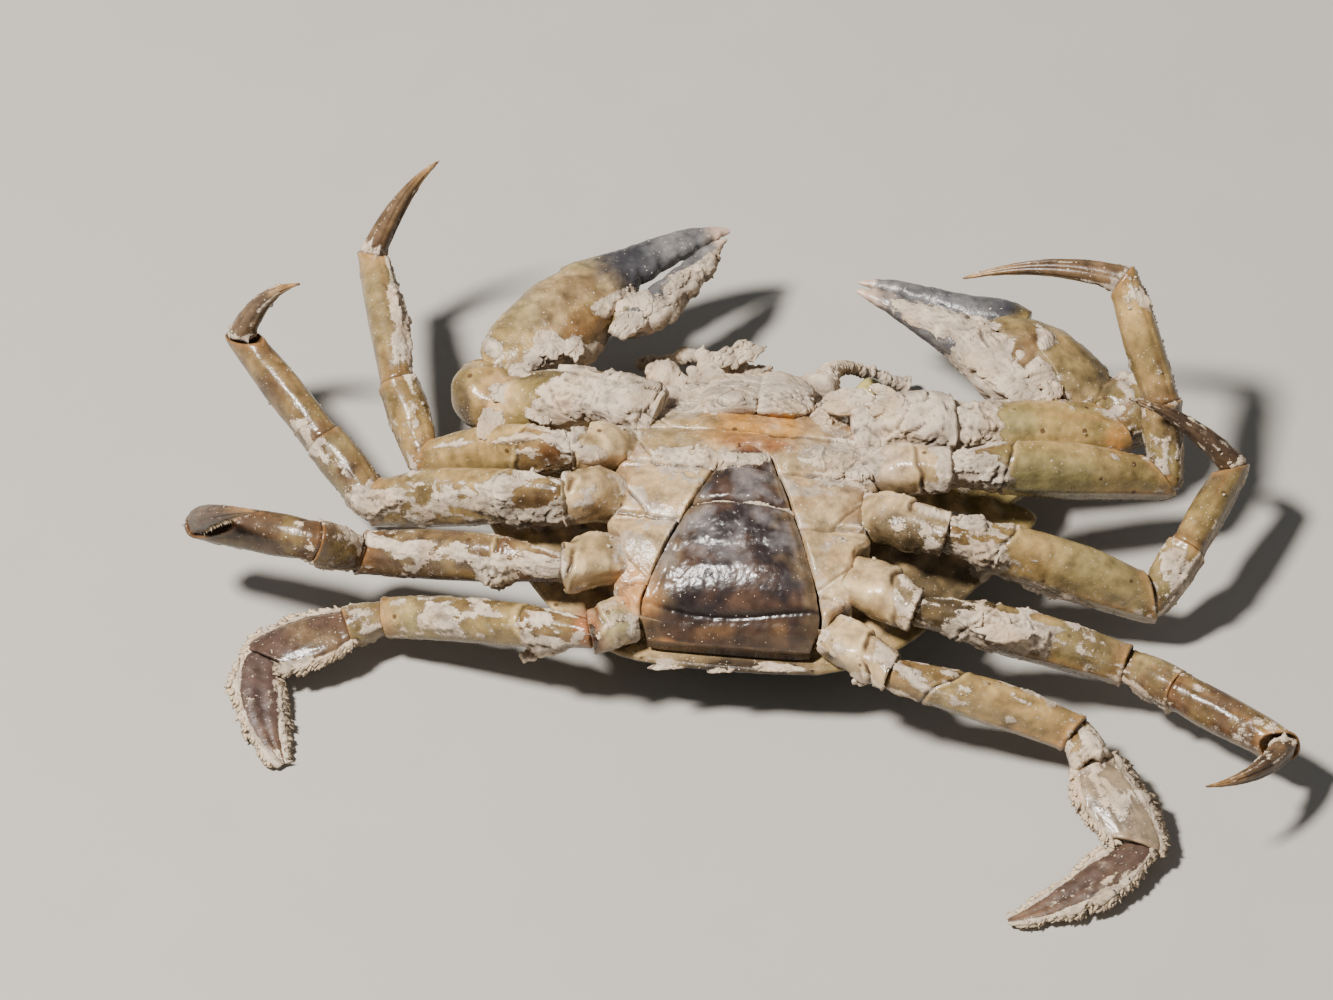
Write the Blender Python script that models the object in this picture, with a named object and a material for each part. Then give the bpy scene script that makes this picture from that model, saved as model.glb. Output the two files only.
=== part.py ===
"""Green crab lying on its back, as a still, life-size museum model.

Every shell piece is one closed object. Lengths below are millimetres; the meshes are made in metres.
The body has its own frame: x to the crab's left, y to its head, z up, away from the back it lies on.
"""
import bpy
import numpy as np

MM = 0.001

# Driving dimensions of the body, in millimetres
GAP = 0.3
CARAPACE_WIDTH = 47.0
CARAPACE_FRONT = 21.3
CARAPACE_REAR = -14.2
WIDEST_AT = 6.0
FRONT_HALF_WIDTH = 5.6
ORBIT_HALF_WIDTH = 11.0
ORBIT_DEPTH = 3.0
DOME_DEPTH = 6.5
TEETH_PER_SIDE = 5
TOOTH_NOTCH = 1.9
TOOTH_FADE = 12
TOOTH_BLUR = 0.17
PLEON_POCKET = 1.3
MOUTH_FRONT = 16.2
STERNUM_REAR = -12.4
TAIL_TIP = 3.3

# How the body lies: turned to its left, its middle just right of the model's axis
BODY_TURN = np.radians(6.0)
BODY_OFFSET = np.array([0.4, 0.0, 0.0])

# Middle of the model's footprint, taken off every point so that the box is centred near the origin
FOOTPRINT_CENTRE = np.array([-0.415, -1.891, 0.0])

# Seams between the breastplates, and where each hip leaves the breastplate's side (y, height)
BREAST_SEAMS = (6.2, 1.2, -4.3, -9.8)
HIP_SEAT = {1: (8.6, 12.7), 2: (3.7, 13.4), 3: (-1.2, 13.4), 4: (-7.3, 12.5), 5: (-12.0, 10.4)}
HIP_HALF_SIZE = {1: (2.2, 2.2), 2: (1.9, 2.1), 3: (2.0, 2.1), 4: (2.1, 2.0), 5: (1.8, 1.8)}

# The pose: where each joint of each limb lies, from the hip's far end to the tip of the claw
LEG_JOINTS = {
    ("leg2", "right"): ((-14.0, 3.1, 15.0), (-26.2, 8.7, 7.5), (-28.6, 15.3, 10.0), (-30.8, 27.5, 13.0),
                        (-25.2, 29.1, 22.5)),
    ("leg2", "left"): ((17.5, 1.5, 14.5), (35.4, 6.0, 8.5), (35.1, 10.0, 13.7), (31.8, 17.2, 21.0),
                       (18.6, 18.5, 19.5)),
    ("leg3", "right"): ((-14.8, -1.5, 14.5), (-30.4, 5.0, 6.5), (-34.8, 10.3, 8.5), (-41.8, 19.1, 12.0),
                        (-36.7, 16.5, 21.0)),
    ("leg3", "left"): ((17.1, -5.3, 14.0), (34.2, -5.0, 5.5), (37.2, -1.8, 8.5), (41.2, 6.6, 9.4),
                       (32.3, 6.2, 18.1)),
    ("leg4", "right"): ((-14.8, -8.0, 13.0), (-31.8, -1.9, 8.0), (-35.3, -4.6, 12.5), (-45.0, -1.0, 11.0),
                        (-39.8, -7.6, 19.5)),
    ("leg4", "left"): ((14.6, -11.9, 12.0), (32.1, -12.7, 6.0), (36.2, -15.9, 6.5), (44.8, -21.7, 6.0),
                       (38.1, -29.2, 9.8)),
    ("leg5", "right"): ((-12.5, -12.9, 10.3), (-29.6, -6.0, 4.5), (-32.8, -6.7, 4.0), (-39.8, -8.5, 2.2),
                        (-37.8, -18.7, 0.6)),
    ("leg5", "left"): ((12.5, -16.9, 9.8), (27.7, -18.9, 4.5), (29.2, -21.9, 3.8), (32.7, -29.3, 2.2),
                       (21.9, -35.8, 0.6)),
}
CLAW_JOINTS = {
    "right": ((-11.4, 11.8, 12.2), (-19.6, 13.9, 8.9), (-21.2, 17.7, 8.5)),
    "left": ((17.7, 8.0, 12.2), (31.0, 10.7, 9.0), (31.0, 15.0, 9.5)),
}

# The claws: middle line of the palm with its fixed finger, and of the moving finger, and their sizes
CLAW_PALM = {
    "right": ((-21.2, 17.9, 8.5), (-19.3, 19.8, 8.9), (-16.8, 21.8, 9.2), (-14.2, 23.5, 9.5),
              (-12.4, 25.2, 9.8), (-10.0, 27.6, 10.1), (-7.2, 29.4, 10.4), (-4.4, 30.7, 10.8),
              (-2.2, 31.5, 11.0), (-0.8, 31.8, 11.0)),
    "left": ((31.0, 15.2, 9.5), (29.0, 15.9, 9.8), (26.5, 16.6, 10.2), (24.0, 16.8, 10.7),
             (22.0, 16.4, 11.1), (19.8, 17.5, 11.5), (17.2, 19.2, 12.0), (14.2, 21.0, 12.4),
             (11.6, 22.4, 12.8), (9.9, 23.1, 13.0)),
}
PALM_HALF_WIDTH = (1.6, 2.9, 3.8, 4.0, 3.5, 2.0, 1.5, 1.1, 0.7, 0.15)
PALM_HALF_THICKNESS = (1.5, 2.5, 3.0, 3.1, 2.7, 1.7, 1.3, 1.0, 0.6, 0.15)
CLAW_FINGER = {
    "right": ((-10.4, 23.2, 9.5), (-8.6, 23.2, 9.7), (-6.4, 25.0, 10.0), (-4.2, 27.5, 10.4),
              (-2.5, 29.5, 10.8), (-1.1, 30.9, 11.0)),
    "left": ((24.0, 20.3, 11.3), (22.0, 21.1, 11.6), (19.2, 21.7, 12.0), (15.8, 22.8, 12.4),
             (12.4, 23.8, 12.8), (10.0, 24.1, 13.0)),
}
FINGER_HALF_WIDTH = (1.5, 1.7, 1.35, 0.95, 0.6, 0.12)

# Half widths (across) and half heights of the leg pieces at their thickest
LEG_SIZES = {
    "leg2": {"merus": (1.75, 2.7), "carpus": (1.7, 1.9), "propodus": (1.5, 1.8), "dactyl": (1.0, 1.1)},
    "leg3": {"merus": (1.75, 2.7), "carpus": (1.7, 1.9), "propodus": (1.5, 1.8), "dactyl": (1.0, 1.1)},
    "leg4": {"merus": (1.6, 2.3), "carpus": (1.6, 1.8), "propodus": (1.6, 1.8), "dactyl": (1.0, 1.1)},
    "leg5": {"merus": (1.6, 2.0), "carpus": (1.6, 1.6), "propodus": (2.3, 0.95), "dactyl": (1.7, 0.6)},
}

# How wide each limb piece is at its start, quarter, half, three quarters and end, as a share of its thickest
HIP_PROFILE = (1.0, 1.02, 0.95, 0.98, 0.95)
MERUS_PROFILE = {"leg2": (0.6, 0.9, 1.0, 0.92, 0.68), "leg3": (0.6, 0.88, 1.0, 0.98, 0.8),
                 "leg4": (0.62, 0.88, 1.0, 0.98, 0.86), "leg5": (0.7, 0.9, 1.0, 0.98, 0.9)}
CARPUS_PROFILE = (0.78, 0.92, 1.0, 1.02, 0.96)
PROPODUS_PROFILE = (0.92, 1.0, 1.0, 0.93, 0.8)
PADDLE_PROFILE = (0.72, 0.95, 1.0, 0.92, 0.72)
DACTYL_PROFILE = (1.0, 0.85, 0.62, 0.36, 0.08)
PADDLE_TIP_PROFILE = (0.75, 1.0, 0.85, 0.5, 0.08)
ARM_PROFILE = (0.8, 0.95, 1.0, 1.02, 0.95)
WRIST_PROFILE = (0.85, 1.05, 1.12, 1.0, 0.75)

# Shell colours as the model shows them: base colour and roughness
FINISHES = {
    "olive_shell": ((0.30, 0.24, 0.12), 0.40),
    "pale_breast": ((0.48, 0.36, 0.25), 0.45),
    "dark_tail": ((0.035, 0.022, 0.018), 0.25),
    "claw_finger": ((0.22, 0.19, 0.18), 0.45),
    "brown_tip": ((0.12, 0.06, 0.03), 0.45),
    "eye_glass": ((0.01, 0.01, 0.012), 0.15),
}


def finish(name):
    """One Principled material, shared by the pieces of that finish."""
    if name in bpy.data.materials:
        return bpy.data.materials[name]
    colour, roughness = FINISHES[name]
    material = bpy.data.materials.new(name)
    material.use_nodes = True
    shader = material.node_tree.nodes["Principled BSDF"]
    shader.inputs["Base Color"].default_value = (*colour, 1.0)
    shader.inputs["Roughness"].default_value = roughness
    shader.inputs["Metallic"].default_value = 0.0
    return material


def unit(vectors):
    """Vectors scaled to length one, along their last axis."""
    return vectors / np.linalg.norm(vectors, axis=-1, keepdims=True)


def smooth(t, knots, values):
    """Smooth curve through the values at the knots, read at t: cubic pieces with averaged slopes."""
    t = np.asarray(t, float)
    knots = np.asarray(knots, float)
    values = np.asarray(values, float)
    slopes = np.gradient(values, knots, axis=0)
    i = np.clip(np.searchsorted(knots, t, side="right") - 1, 0, len(knots) - 2)
    span = knots[i + 1] - knots[i]
    s = np.clip((t - knots[i]) / span, 0.0, 1.0)
    if values.ndim == 2:
        span, s = span[..., None], s[..., None]
    rise = (1 + 2 * s) * (1 - s) ** 2 * values[i] + s * s * (3 - 2 * s) * values[i + 1]
    return rise + span * (s * (1 - s) ** 2 * slopes[i] + s * s * (s - 1) * slopes[i + 1])


def to_world(points):
    """Body-frame points turned and moved to where the body lies."""
    x, y, z = np.moveaxis(np.asarray(points, float), -1, 0)
    turned = np.stack([x * np.cos(BODY_TURN) + y * np.sin(BODY_TURN),
                       y * np.cos(BODY_TURN) - x * np.sin(BODY_TURN), z], axis=-1)
    return turned + BODY_OFFSET


def closed_skin(name, rings, material):
    """One closed body through rings of points, ordered along it, with one face closing each end."""
    rings = np.asarray(rings, float)
    rings[..., 2] = np.maximum(rings[..., 2], 0.0)
    stations, sides = rings.shape[:2]
    points = rings.reshape(-1, 3)
    across = np.arange(sides)
    after = (across + 1) % sides
    start = (np.arange(stations - 1) * sides)[:, None]
    quads = np.stack([start + across, start + after, start + sides + after, start + sides + across], axis=-1)
    quads = quads.reshape(-1, 4)
    walls = np.concatenate([quads[:, [0, 1, 2]], quads[:, [0, 2, 3]]])
    a, b, c = (points[walls] - points.mean(axis=0)).transpose(1, 0, 2)
    inside_out = np.einsum("ij,ij->i", a, np.cross(b, c)).sum() < 0
    faces = walls.tolist() + [across[::-1].tolist(), (start[-1, 0] + sides + across).tolist()]
    if inside_out:
        faces = [face[::-1] for face in faces]
    mesh = bpy.data.meshes.new(name)
    mesh.from_pydata(((points - FOOTPRINT_CENTRE) * MM).tolist(), [], faces)
    mesh.shade_smooth()
    mesh.materials.append(finish(material))
    piece = bpy.data.objects.new(name, mesh)
    bpy.context.scene.collection.objects.link(piece)
    return piece


def section_circle(sides, fullness):
    """Unit superellipse: cosine and sine raised to 2 / fullness, signs kept."""
    angle = np.linspace(0, 2 * np.pi, sides, endpoint=False)
    power = 2.0 / fullness
    return (np.sign(np.cos(angle)) * np.abs(np.cos(angle)) ** power,
            np.sign(np.sin(angle)) * np.abs(np.sin(angle)) ** power)


def swept(centres, half_across, half_up, across_hint, fullness=2.3, sides=14, cuts=(None, None)):
    """Rings of superellipse sections carried along a path of centres.

    The across axis is the hint made square to the path, the up axis is square to both. A cut is the
    normal of the plane that the end keeps to: points slide along the path onto it.
    """
    centres = np.asarray(centres, float)
    ahead = unit(np.gradient(centres, axis=0))
    hint = np.broadcast_to(np.asarray(across_hint, float), centres.shape)
    across = unit(hint - ahead * (hint * ahead).sum(axis=1, keepdims=True))
    upward = np.cross(ahead, across)
    cosine, sine = section_circle(sides, fullness)
    offset = (across[:, None] * (half_across[:, None] * cosine)[..., None]
              + upward[:, None] * (half_up[:, None] * sine)[..., None])
    slide = np.zeros(offset.shape[:2])
    share = np.linspace(0, 1, len(centres))
    for normal, ahead_there, weight in ((cuts[0], ahead[0], 1 - share), (cuts[1], ahead[-1], share)):
        if normal is not None:
            slide -= weight[:, None] * (offset @ normal) / (ahead_there @ normal)
    return centres[:, None] + offset + ahead[:, None] * slide[..., None]


def article(name, start, end, cuts, half_across, half_up, across_hint, material,
            bend=(0.0, 0.0, 0.0), stations=8, fullness=2.3, sides=12):
    """One limb piece from joint to joint, half a gap short of each, bowed by bend at its middle.

    half_across and half_up are read at the start, quarter, half, three quarters and end.
    """
    start, end = np.asarray(start, float), np.asarray(end, float)
    ahead = unit(end - start)
    first = start + ahead * GAP / 2 / (ahead @ cuts[0])
    last = end if cuts[1] is None else end - ahead * GAP / 2 / (ahead @ cuts[1])
    t = np.linspace(0, 1, stations)[:, None]
    centres = first + (last - first) * t + np.asarray(bend) * 4 * t * (1 - t)
    knots = np.linspace(0, 1, len(half_across))
    wide = smooth(t[:, 0], knots, half_across)
    high = smooth(t[:, 0], knots, half_up)
    rings = swept(centres, wide, high, across_hint, fullness, sides, cuts)
    return closed_skin(name, rings, material)


# Body surfaces, as heights over the body's own x and y

def margin_height(x, y):
    """Height of the carapace's sharp edge: lower at the head, a little higher at the sides."""
    return 6.2 - 0.085 * y + 0.9 * (x / 24.0) ** 2


def seat_height(y):
    """Height of the seam between the carapace and the breastplate, an arch along the body."""
    return 10.5 - 0.013 * (y - 1.0) ** 2


def breast_half_width(y):
    """Half width of the breastplate, out to the wall that the hips leave from."""
    return smooth(y, (-14.0, -12.0, -7.3, -1.2, 3.7, 8.6, 12.0, 16.2),
                  (7.6, 8.2, 9.6, 10.0, 9.7, 8.6, 7.6, 5.8))


def breast_height(x, y):
    """Top of the breastplate: a long arch, falling to its sides, hollow between the last hips."""
    middle = smooth(y, (-13.0, -12.5, -10.6, -6.8, -3.0, 0.6, 3.0, 6.0, 9.0, 12.0, 15.0, 16.2),
                    (8.9, 9.7, 12.1, 14.1, 14.9, 15.1, 15.0, 14.3, 12.9, 11.1, 9.3, 8.5))
    fall = smooth(y, (-13.0, -12.0, -10.6, -6.8, -3.0, 3.0, 9.0, 12.0, 16.2),
                  (-0.9, -1.1, 0.2, 0.8, 0.9, 0.9, 1.2, 1.1, 0.4))
    return middle - fall * np.abs(x / breast_half_width(y)) ** 2.2


def pleon_half_width(y):
    """Half width of the narrow male tail flap, from its base to the blunt tip of its last piece."""
    return smooth(y, (-13.4, -12.3, -10.6, -6.8, -3.0, 0.4, 1.0, 2.4, 3.3),
                  (6.6, 7.2, 6.9, 5.6, 4.0, 2.6, 2.3, 1.6, 0.5))


def margin_outline():
    """Half outline of the carapace from head to tail: frontal lobes, eye notch, teeth, hind edge."""
    half = CARAPACE_WIDTH / 2
    x = np.linspace(0, FRONT_HALF_WIDTH, 9)
    lobes = np.stack([x, CARAPACE_FRONT + 0.45 * np.cos(2 * np.pi * x / 3.75) - 0.02 * x * x], axis=-1)
    orbit_floor = CARAPACE_FRONT - ORBIT_DEPTH - 0.4
    orbit = np.array([(6.3, 19.6), (7.0, orbit_floor), (8.6, orbit_floor - 0.2), (10.1, orbit_floor)])
    points = [lobes, orbit]
    side_arc = ORBIT_HALF_WIDTH, half - ORBIT_HALF_WIDTH, 13.6
    step = np.pi / 2 / (TEETH_PER_SIDE - 1)

    def on_arc(angle, inset=0.0):
        return (side_arc[0] + (side_arc[1] - inset) * np.sin(angle),
                WIDEST_AT + (side_arc[2] - inset) * np.cos(angle))

    points.append(np.array([on_arc(0.0)]))
    for tooth in range(1, TEETH_PER_SIDE):
        points.append(np.array([on_arc((tooth - 0.62) * step, 0.35),
                                on_arc((tooth - 0.30) * step, TOOTH_NOTCH),
                                on_arc((tooth - 0.10) * step, 0.55),
                                on_arc(tooth * step)]))
    hind = np.linspace(0.12, 1, 11)
    points.append(smooth(hind, (0, 0.2, 0.45, 0.65, 0.78, 0.9, 1.0),
                         ((half, WIDEST_AT), (21.8, 1.5), (17.6, -5.5), (13.2, -10.9), (9.6, -13.3),
                          (5.0, CARAPACE_REAR + 0.1), (0.0, CARAPACE_REAR))))
    return np.concatenate(points)


def make_carapace():
    """Back shell: a low dome below, a shallow flank above, meeting in a toothed edge.

    Rings shrink towards the middle; the teeth fade on the way into a rounded copy of the outline.
    """
    left = margin_outline()
    edge = np.concatenate([left, (left * (-1, 1))[1:-1][::-1]])
    centre = np.array([0.0, 3.0])
    spoke = edge - centre
    reach = np.linalg.norm(spoke, axis=1)
    heading = spoke / reach[:, None]
    bearing = np.arctan2(heading[:, 1], heading[:, 0])
    even = np.linspace(-np.pi, np.pi, 240, endpoint=False)
    order = bearing.argsort()
    even_reach = np.interp(even, bearing[order], reach[order], period=2 * np.pi)
    nearness = np.exp(-(np.angle(np.exp(1j * (bearing[:, None] - even))) / TOOTH_BLUR) ** 2)
    plain = nearness @ even_reach / nearness.sum(axis=1)
    sideways = heading[:, 0] ** 2

    def ring(share, height):
        radius = share * (plain + (reach - plain) * share ** TOOTH_FADE)
        x, y = (centre + heading * radius[:, None]).T
        return np.stack([x, y, height(share, x, y)], axis=-1)

    def back(share, x, y):
        return margin_height(x, y) - DOME_DEPTH * (1 - share ** 2.4) ** 0.85

    def flank(share, x, y):
        rise = (6.2 - 1.0 * sideways) * (1 - share ** (2.4 - 0.9 * sideways)) ** (1 + 0.2 * sideways)
        return np.minimum(margin_height(x, y) + rise, np.maximum(seat_height(y) - GAP / 2,
                                                                 margin_height(x, y)))

    below = [ring(share, back) for share in (0.06, 0.2, 0.35, 0.5, 0.65, 0.78, 0.88, 0.95)]
    above = [ring(share, flank) for share in (1.0, 0.93, 0.84, 0.73, 0.6, 0.45, 0.25, 0.06)]
    return closed_skin("carapace", to_world(below + above), "olive_shell")


def make_sternum():
    """Breastplate and mouth frame: seven plates parted by seams, with a pocket for the tail flap."""
    pocket_end = TAIL_TIP + GAP + 0.1
    rows = np.concatenate([np.linspace(STERNUM_REAR, MOUTH_FRONT, 23),
                           (2.0, 2.7, TAIL_TIP, pocket_end, pocket_end + 0.25)]
                          + [np.array((seam - 0.45, seam, seam + 0.45)) for seam in BREAST_SEAMS])
    rings = []
    for y in np.unique(rows.round(2)):
        half = float(breast_half_width(y))
        pocket = float(pleon_half_width(min(y, TAIL_TIP))) + GAP
        depth = PLEON_POCKET * (y < pocket_end + 0.05)
        side = np.concatenate([np.array([0.0, 0.5, 1.0]) * pocket,
                               pocket + (half - 0.5 - pocket) * np.array([0.07, 0.35, 0.7, 1.0]), [half]])
        seam = sum(np.exp(-((y - place) / 0.35) ** 2) for place in BREAST_SEAMS)
        top = breast_height(side, y) - 0.45 * seam
        top[:3] -= depth - 0.45 * seam
        top[-1] = top[-2] - 0.5
        foot = seat_height(y) + GAP / 2
        top = np.maximum(top, foot + 0.25)
        x = np.concatenate([-side[::-1], side[1:], [half, 0.0, -half]])
        z = np.concatenate([top[::-1], top[1:], [foot, foot, foot]])
        rings.append(np.stack([x, np.full_like(x, y), z], axis=-1))
    return closed_skin("sternum", to_world(rings), "pale_breast")


def make_pleon(name, rear, front, seams):
    """A stretch of the tail flap: a plate bulging over its pocket, grooved at each seam."""
    rows = np.concatenate([np.linspace(rear, front, 9)] + [(seam - 0.3, seam, seam + 0.3) for seam in seams])
    rings = []
    for y in np.unique(rows.round(2)):
        half = float(pleon_half_width(y))
        reach = np.clip(min(y - rear, front - y) / 0.5, 0.0, 1.0)
        side = half * np.array([0.0, 0.3, 0.6, 0.85, 1.0])
        groove = sum(np.exp(-((y - place) / 0.25) ** 2) for place in seams)
        y_plate = max(y, STERNUM_REAR)
        base = breast_height(side, y_plate) - 1.2 * (y_plate - y)
        bulge = 0.9 * (1 - (side / half) ** 2) - 0.35 * groove - 0.3 * (1 - reach) + 0.05
        floor = np.maximum(base - PLEON_POCKET + GAP, seat_height(y) + GAP)
        x = np.concatenate([-side[::-1], side[1:], side[::-2], -side[2::2]])
        z = np.concatenate([(base + bulge)[::-1], (base + bulge)[1:], floor[::-2], floor[2::2]])
        rings.append(np.stack([x, np.full_like(x, y), z], axis=-1))
    return closed_skin(name, to_world(rings), "dark_tail")


def make_maxilliped(side_name, side):
    """Outer mouth-leg: a flat two-piece lid over one half of the mouth."""
    rings = []
    for y in np.unique(np.concatenate([np.linspace(8.7, 16.0, 9), (12.9, 13.2, 13.5)]).round(2)):
        wide = float(smooth(y, (8.7, 10.0, 13.2, 15.0, 16.0), (1.5, 1.9, 1.85, 1.6, 0.9)))
        middle = GAP / 2 + wide
        x = middle + wide * np.array([-1, -0.7, 0, 0.7, 1])
        groove = np.exp(-((y - 13.2) / 0.25) ** 2)
        base = breast_height(x, y) + GAP
        top = base + np.array([0.5, 1.05, 1.25, 1.05, 0.5]) - 0.35 * groove
        ring_x = np.concatenate([x, x[::-2]])
        ring_z = np.concatenate([top, base[::-2]])
        rings.append(np.stack([side * ring_x, np.full_like(ring_x, y), ring_z], axis=-1))
    return closed_skin("maxilliped_" + side_name, to_world(rings), "pale_breast")


def body_tube(name, path, radius, material, sides=10):
    """A round feeler or stalk along a path in the body's frame."""
    t = np.linspace(0, 1, 3 * len(path))
    knots = np.linspace(0, 1, len(path))
    centres = to_world(smooth(t, knots, path))
    thick = smooth(t, knots, radius)
    return closed_skin(name, swept(centres, thick, thick, (0.1, 0.2, 1.0), 2.0, sides), material)


def make_head(side_name, side):
    """Eye on its stalk in the notch of the front, and the feeler beside it."""
    eye_path = np.array([(6.9, 18.85, 5.2), (7.7, 19.05, 5.3), (8.8, 19.45, 5.4), (10.1, 19.7, 5.4)])
    body_tube("eye_" + side_name, eye_path * (side, 1, 1), (0.6, 0.85, 1.35, 0.4), "eye_glass")
    feeler = np.array([(4.4, 16.85, 8.2), (5.0, 19.0, 7.5), (5.9, 21.6, 5.9), (8.2, 23.5, 3.4), (11.4, 24.3, 1.4)])
    body_tube("antenna_" + side_name, feeler * (side, 1, 1), (0.8, 0.65, 0.42, 0.28, 0.25), "olive_shell", 8)


def hip_start(limb, side):
    """Where a hip leaves the breastplate's side, and the wall's outward direction there."""
    y, z = HIP_SEAT[limb]
    slope = float(breast_half_width(y + 0.1) - breast_half_width(y - 0.1)) / 0.2
    reach = np.linspace(-1, 1, 9) * HIP_HALF_SIZE[limb][0]
    bulge = (breast_half_width(y + reach) - slope * reach).max()
    wall = side * (bulge + GAP / 2)
    outward = unit(np.array([side, -slope, 0.0]))
    turned = to_world(outward) - BODY_OFFSET
    return to_world((wall, y, z)), turned


def limb_cuts(joints, first_cut):
    """Plane normals at the joints: the wall's, then the mean of the directions that meet there."""
    ahead = unit(np.diff(joints, axis=0))
    return [first_cut] + list(unit(ahead[1:] + ahead[:-1])) + [None]


def make_leg(limb, side_name, side):
    """One walking leg: hip, merus, carpus, propodus and the pointed dactyl."""
    leg = f"leg{limb}"
    start, outward = hip_start(limb, side)
    joints = np.array([start, *LEG_JOINTS[(leg, side_name)]])
    cuts = limb_cuts(joints, outward)
    sizes = LEG_SIZES[leg]
    along_body, tall = HIP_HALF_SIZE[limb]
    lying = (0.0, 0.0, 1.0)
    merus_wide, merus_high = sizes["merus"]
    hip_profile = np.array(HIP_PROFILE)
    article(f"{leg}_{side_name}_hip", joints[0], joints[1], cuts[:2], along_body * hip_profile,
            tall * hip_profile, (0, 1, 0), "olive_shell", stations=7)
    merus_profile = np.array(MERUS_PROFILE[leg])
    article(f"{leg}_{side_name}_merus", joints[1], joints[2], cuts[1:3], merus_high * merus_profile,
            merus_wide * merus_profile, lying, "olive_shell", bend=(0, 0, 0.5), stations=9)
    wide, high = sizes["carpus"]
    profile = np.array(CARPUS_PROFILE)
    article(f"{leg}_{side_name}_carpus", joints[2], joints[3], cuts[2:4], high * profile, wide * profile,
            lying, "olive_shell", stations=6)
    wide, high = sizes["propodus"]
    flat = limb == 5
    hint = np.cross(joints[4] - joints[3], (0, 0, 1)) if flat else lying
    first, second = (wide, high) if flat else (high, wide)
    profile = np.array(PADDLE_PROFILE if flat else PROPODUS_PROFILE)
    article(f"{leg}_{side_name}_propodus", joints[3], joints[4], cuts[3:5], first * profile,
            second * profile, hint, "olive_shell")
    wide, high = sizes["dactyl"]
    hint = np.cross(joints[5] - joints[4], (0, 0, 1)) if flat else lying
    first, second = (wide, high) if flat else (high, wide)
    profile = np.array(PADDLE_TIP_PROFILE if flat else DACTYL_PROFILE)
    bow = 0.9 * unit(np.cross(np.cross(joints[4] - joints[3], joints[5] - joints[4]), joints[5] - joints[4]))
    article(f"{leg}_{side_name}_dactyl", joints[4], joints[5], (cuts[4], None), first * profile,
            second * profile, hint, "brown_tip", bend=-bow, sides=10)


def keep_largest(piece):
    """Drop all but the largest closed surface of a piece."""
    mesh = piece.data
    count = len(mesh.vertices)
    label = np.arange(count)
    edges = np.array([edge.vertices[:] for edge in mesh.edges])
    while True:
        low = np.minimum(label[edges[:, 0]], label[edges[:, 1]])
        before = label.copy()
        np.minimum.at(label, edges[:, 0], low)
        np.minimum.at(label, edges[:, 1], low)
        if (label == before).all():
            break
    names, sizes = np.unique(label, return_counts=True)
    keep = label == names[sizes.argmax()]
    index = np.cumsum(keep) - 1
    points = np.array([vertex.co[:] for vertex in mesh.vertices])[keep]
    faces = [index[list(face.vertices)].tolist() for face in mesh.polygons if keep[face.vertices[0]]]
    mesh.clear_geometry()
    mesh.from_pydata(points.tolist(), [], faces)


def carve_clear(piece, neighbour):
    """Cut from a piece whatever comes within the gap of its neighbour, so that they meet face to face."""
    swollen = neighbour.copy()
    swollen.data = neighbour.data.copy()
    bpy.context.scene.collection.objects.link(swollen)
    normals = np.array([vertex.normal[:] for vertex in swollen.data.vertices])
    points = np.array([vertex.co[:] for vertex in swollen.data.vertices])
    swollen.data.vertices.foreach_set("co", (points + normals * GAP * MM).ravel())
    swollen.data.update()
    cut = piece.modifiers.new("cut", "BOOLEAN")
    cut.operation = "DIFFERENCE"
    cut.object = swollen
    bpy.context.view_layer.update()
    evaluated = piece.evaluated_get(bpy.context.evaluated_depsgraph_get())
    carved = bpy.data.meshes.new_from_object(evaluated)
    piece.modifiers.clear()
    piece.data = carved
    bpy.data.objects.remove(swollen)
    keep_largest(piece)


def make_claw(side_name, side):
    """One claw limb: hip, arm, wrist, the palm with its fixed finger, and the moving finger."""
    start, outward = hip_start(1, side)
    joints = np.array([start, *CLAW_JOINTS[side_name]])
    palm_path = np.array(CLAW_PALM[side_name])
    cuts = limb_cuts(np.array([*joints, palm_path[2]]), outward)
    lying = (0.0, 0.0, 1.0)
    wide, tall = HIP_HALF_SIZE[1]
    hip_profile = np.array(HIP_PROFILE)
    article(f"claw_{side_name}_hip", joints[0], joints[1], cuts[:2], wide * hip_profile, tall * hip_profile,
            (0, 1, 0), "olive_shell", stations=8)
    arm = np.array(ARM_PROFILE)
    article(f"claw_{side_name}_arm", joints[1], joints[2], cuts[1:3], 2.4 * arm, 2.5 * arm, lying,
            "olive_shell", stations=8)
    wrist = np.array(WRIST_PROFILE)
    article(f"claw_{side_name}_wrist", joints[2], joints[3], cuts[2:4], 2.3 * wrist, 2.4 * wrist, lying,
            "olive_shell", bend=(side * 1.1, -0.4, 0.0), stations=8)
    t = np.linspace(0, 1, 19)
    knots = np.linspace(0, 1, len(palm_path))
    centres = smooth(t, knots, palm_path)
    centres[0] = palm_path[0] + unit(palm_path[1] - palm_path[0]) * GAP / 2
    half_width = smooth(t, knots, PALM_HALF_WIDTH)
    half_thickness = smooth(t, knots, PALM_HALF_THICKNESS)
    across = np.cross(np.gradient(centres, axis=0), (0, 0, 1))
    palm_cuts = (cuts[3], None)
    palm = closed_skin(f"claw_{side_name}_palm",
                       swept(centres, half_width, half_thickness, across, 2.3, 16, palm_cuts), "claw_finger")
    knots = np.linspace(0, 1, len(FINGER_HALF_WIDTH))
    t = np.linspace(0, 1, 13)
    centres = smooth(t, knots, CLAW_FINGER[side_name])
    thick = smooth(t, knots, FINGER_HALF_WIDTH)
    across = np.cross(np.gradient(centres, axis=0), (0, 0, 1))
    finger = closed_skin(f"claw_{side_name}_finger", swept(centres, thick, thick, across, 2.2, 12),
                         "claw_finger")
    carve_clear(finger, palm)


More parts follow.
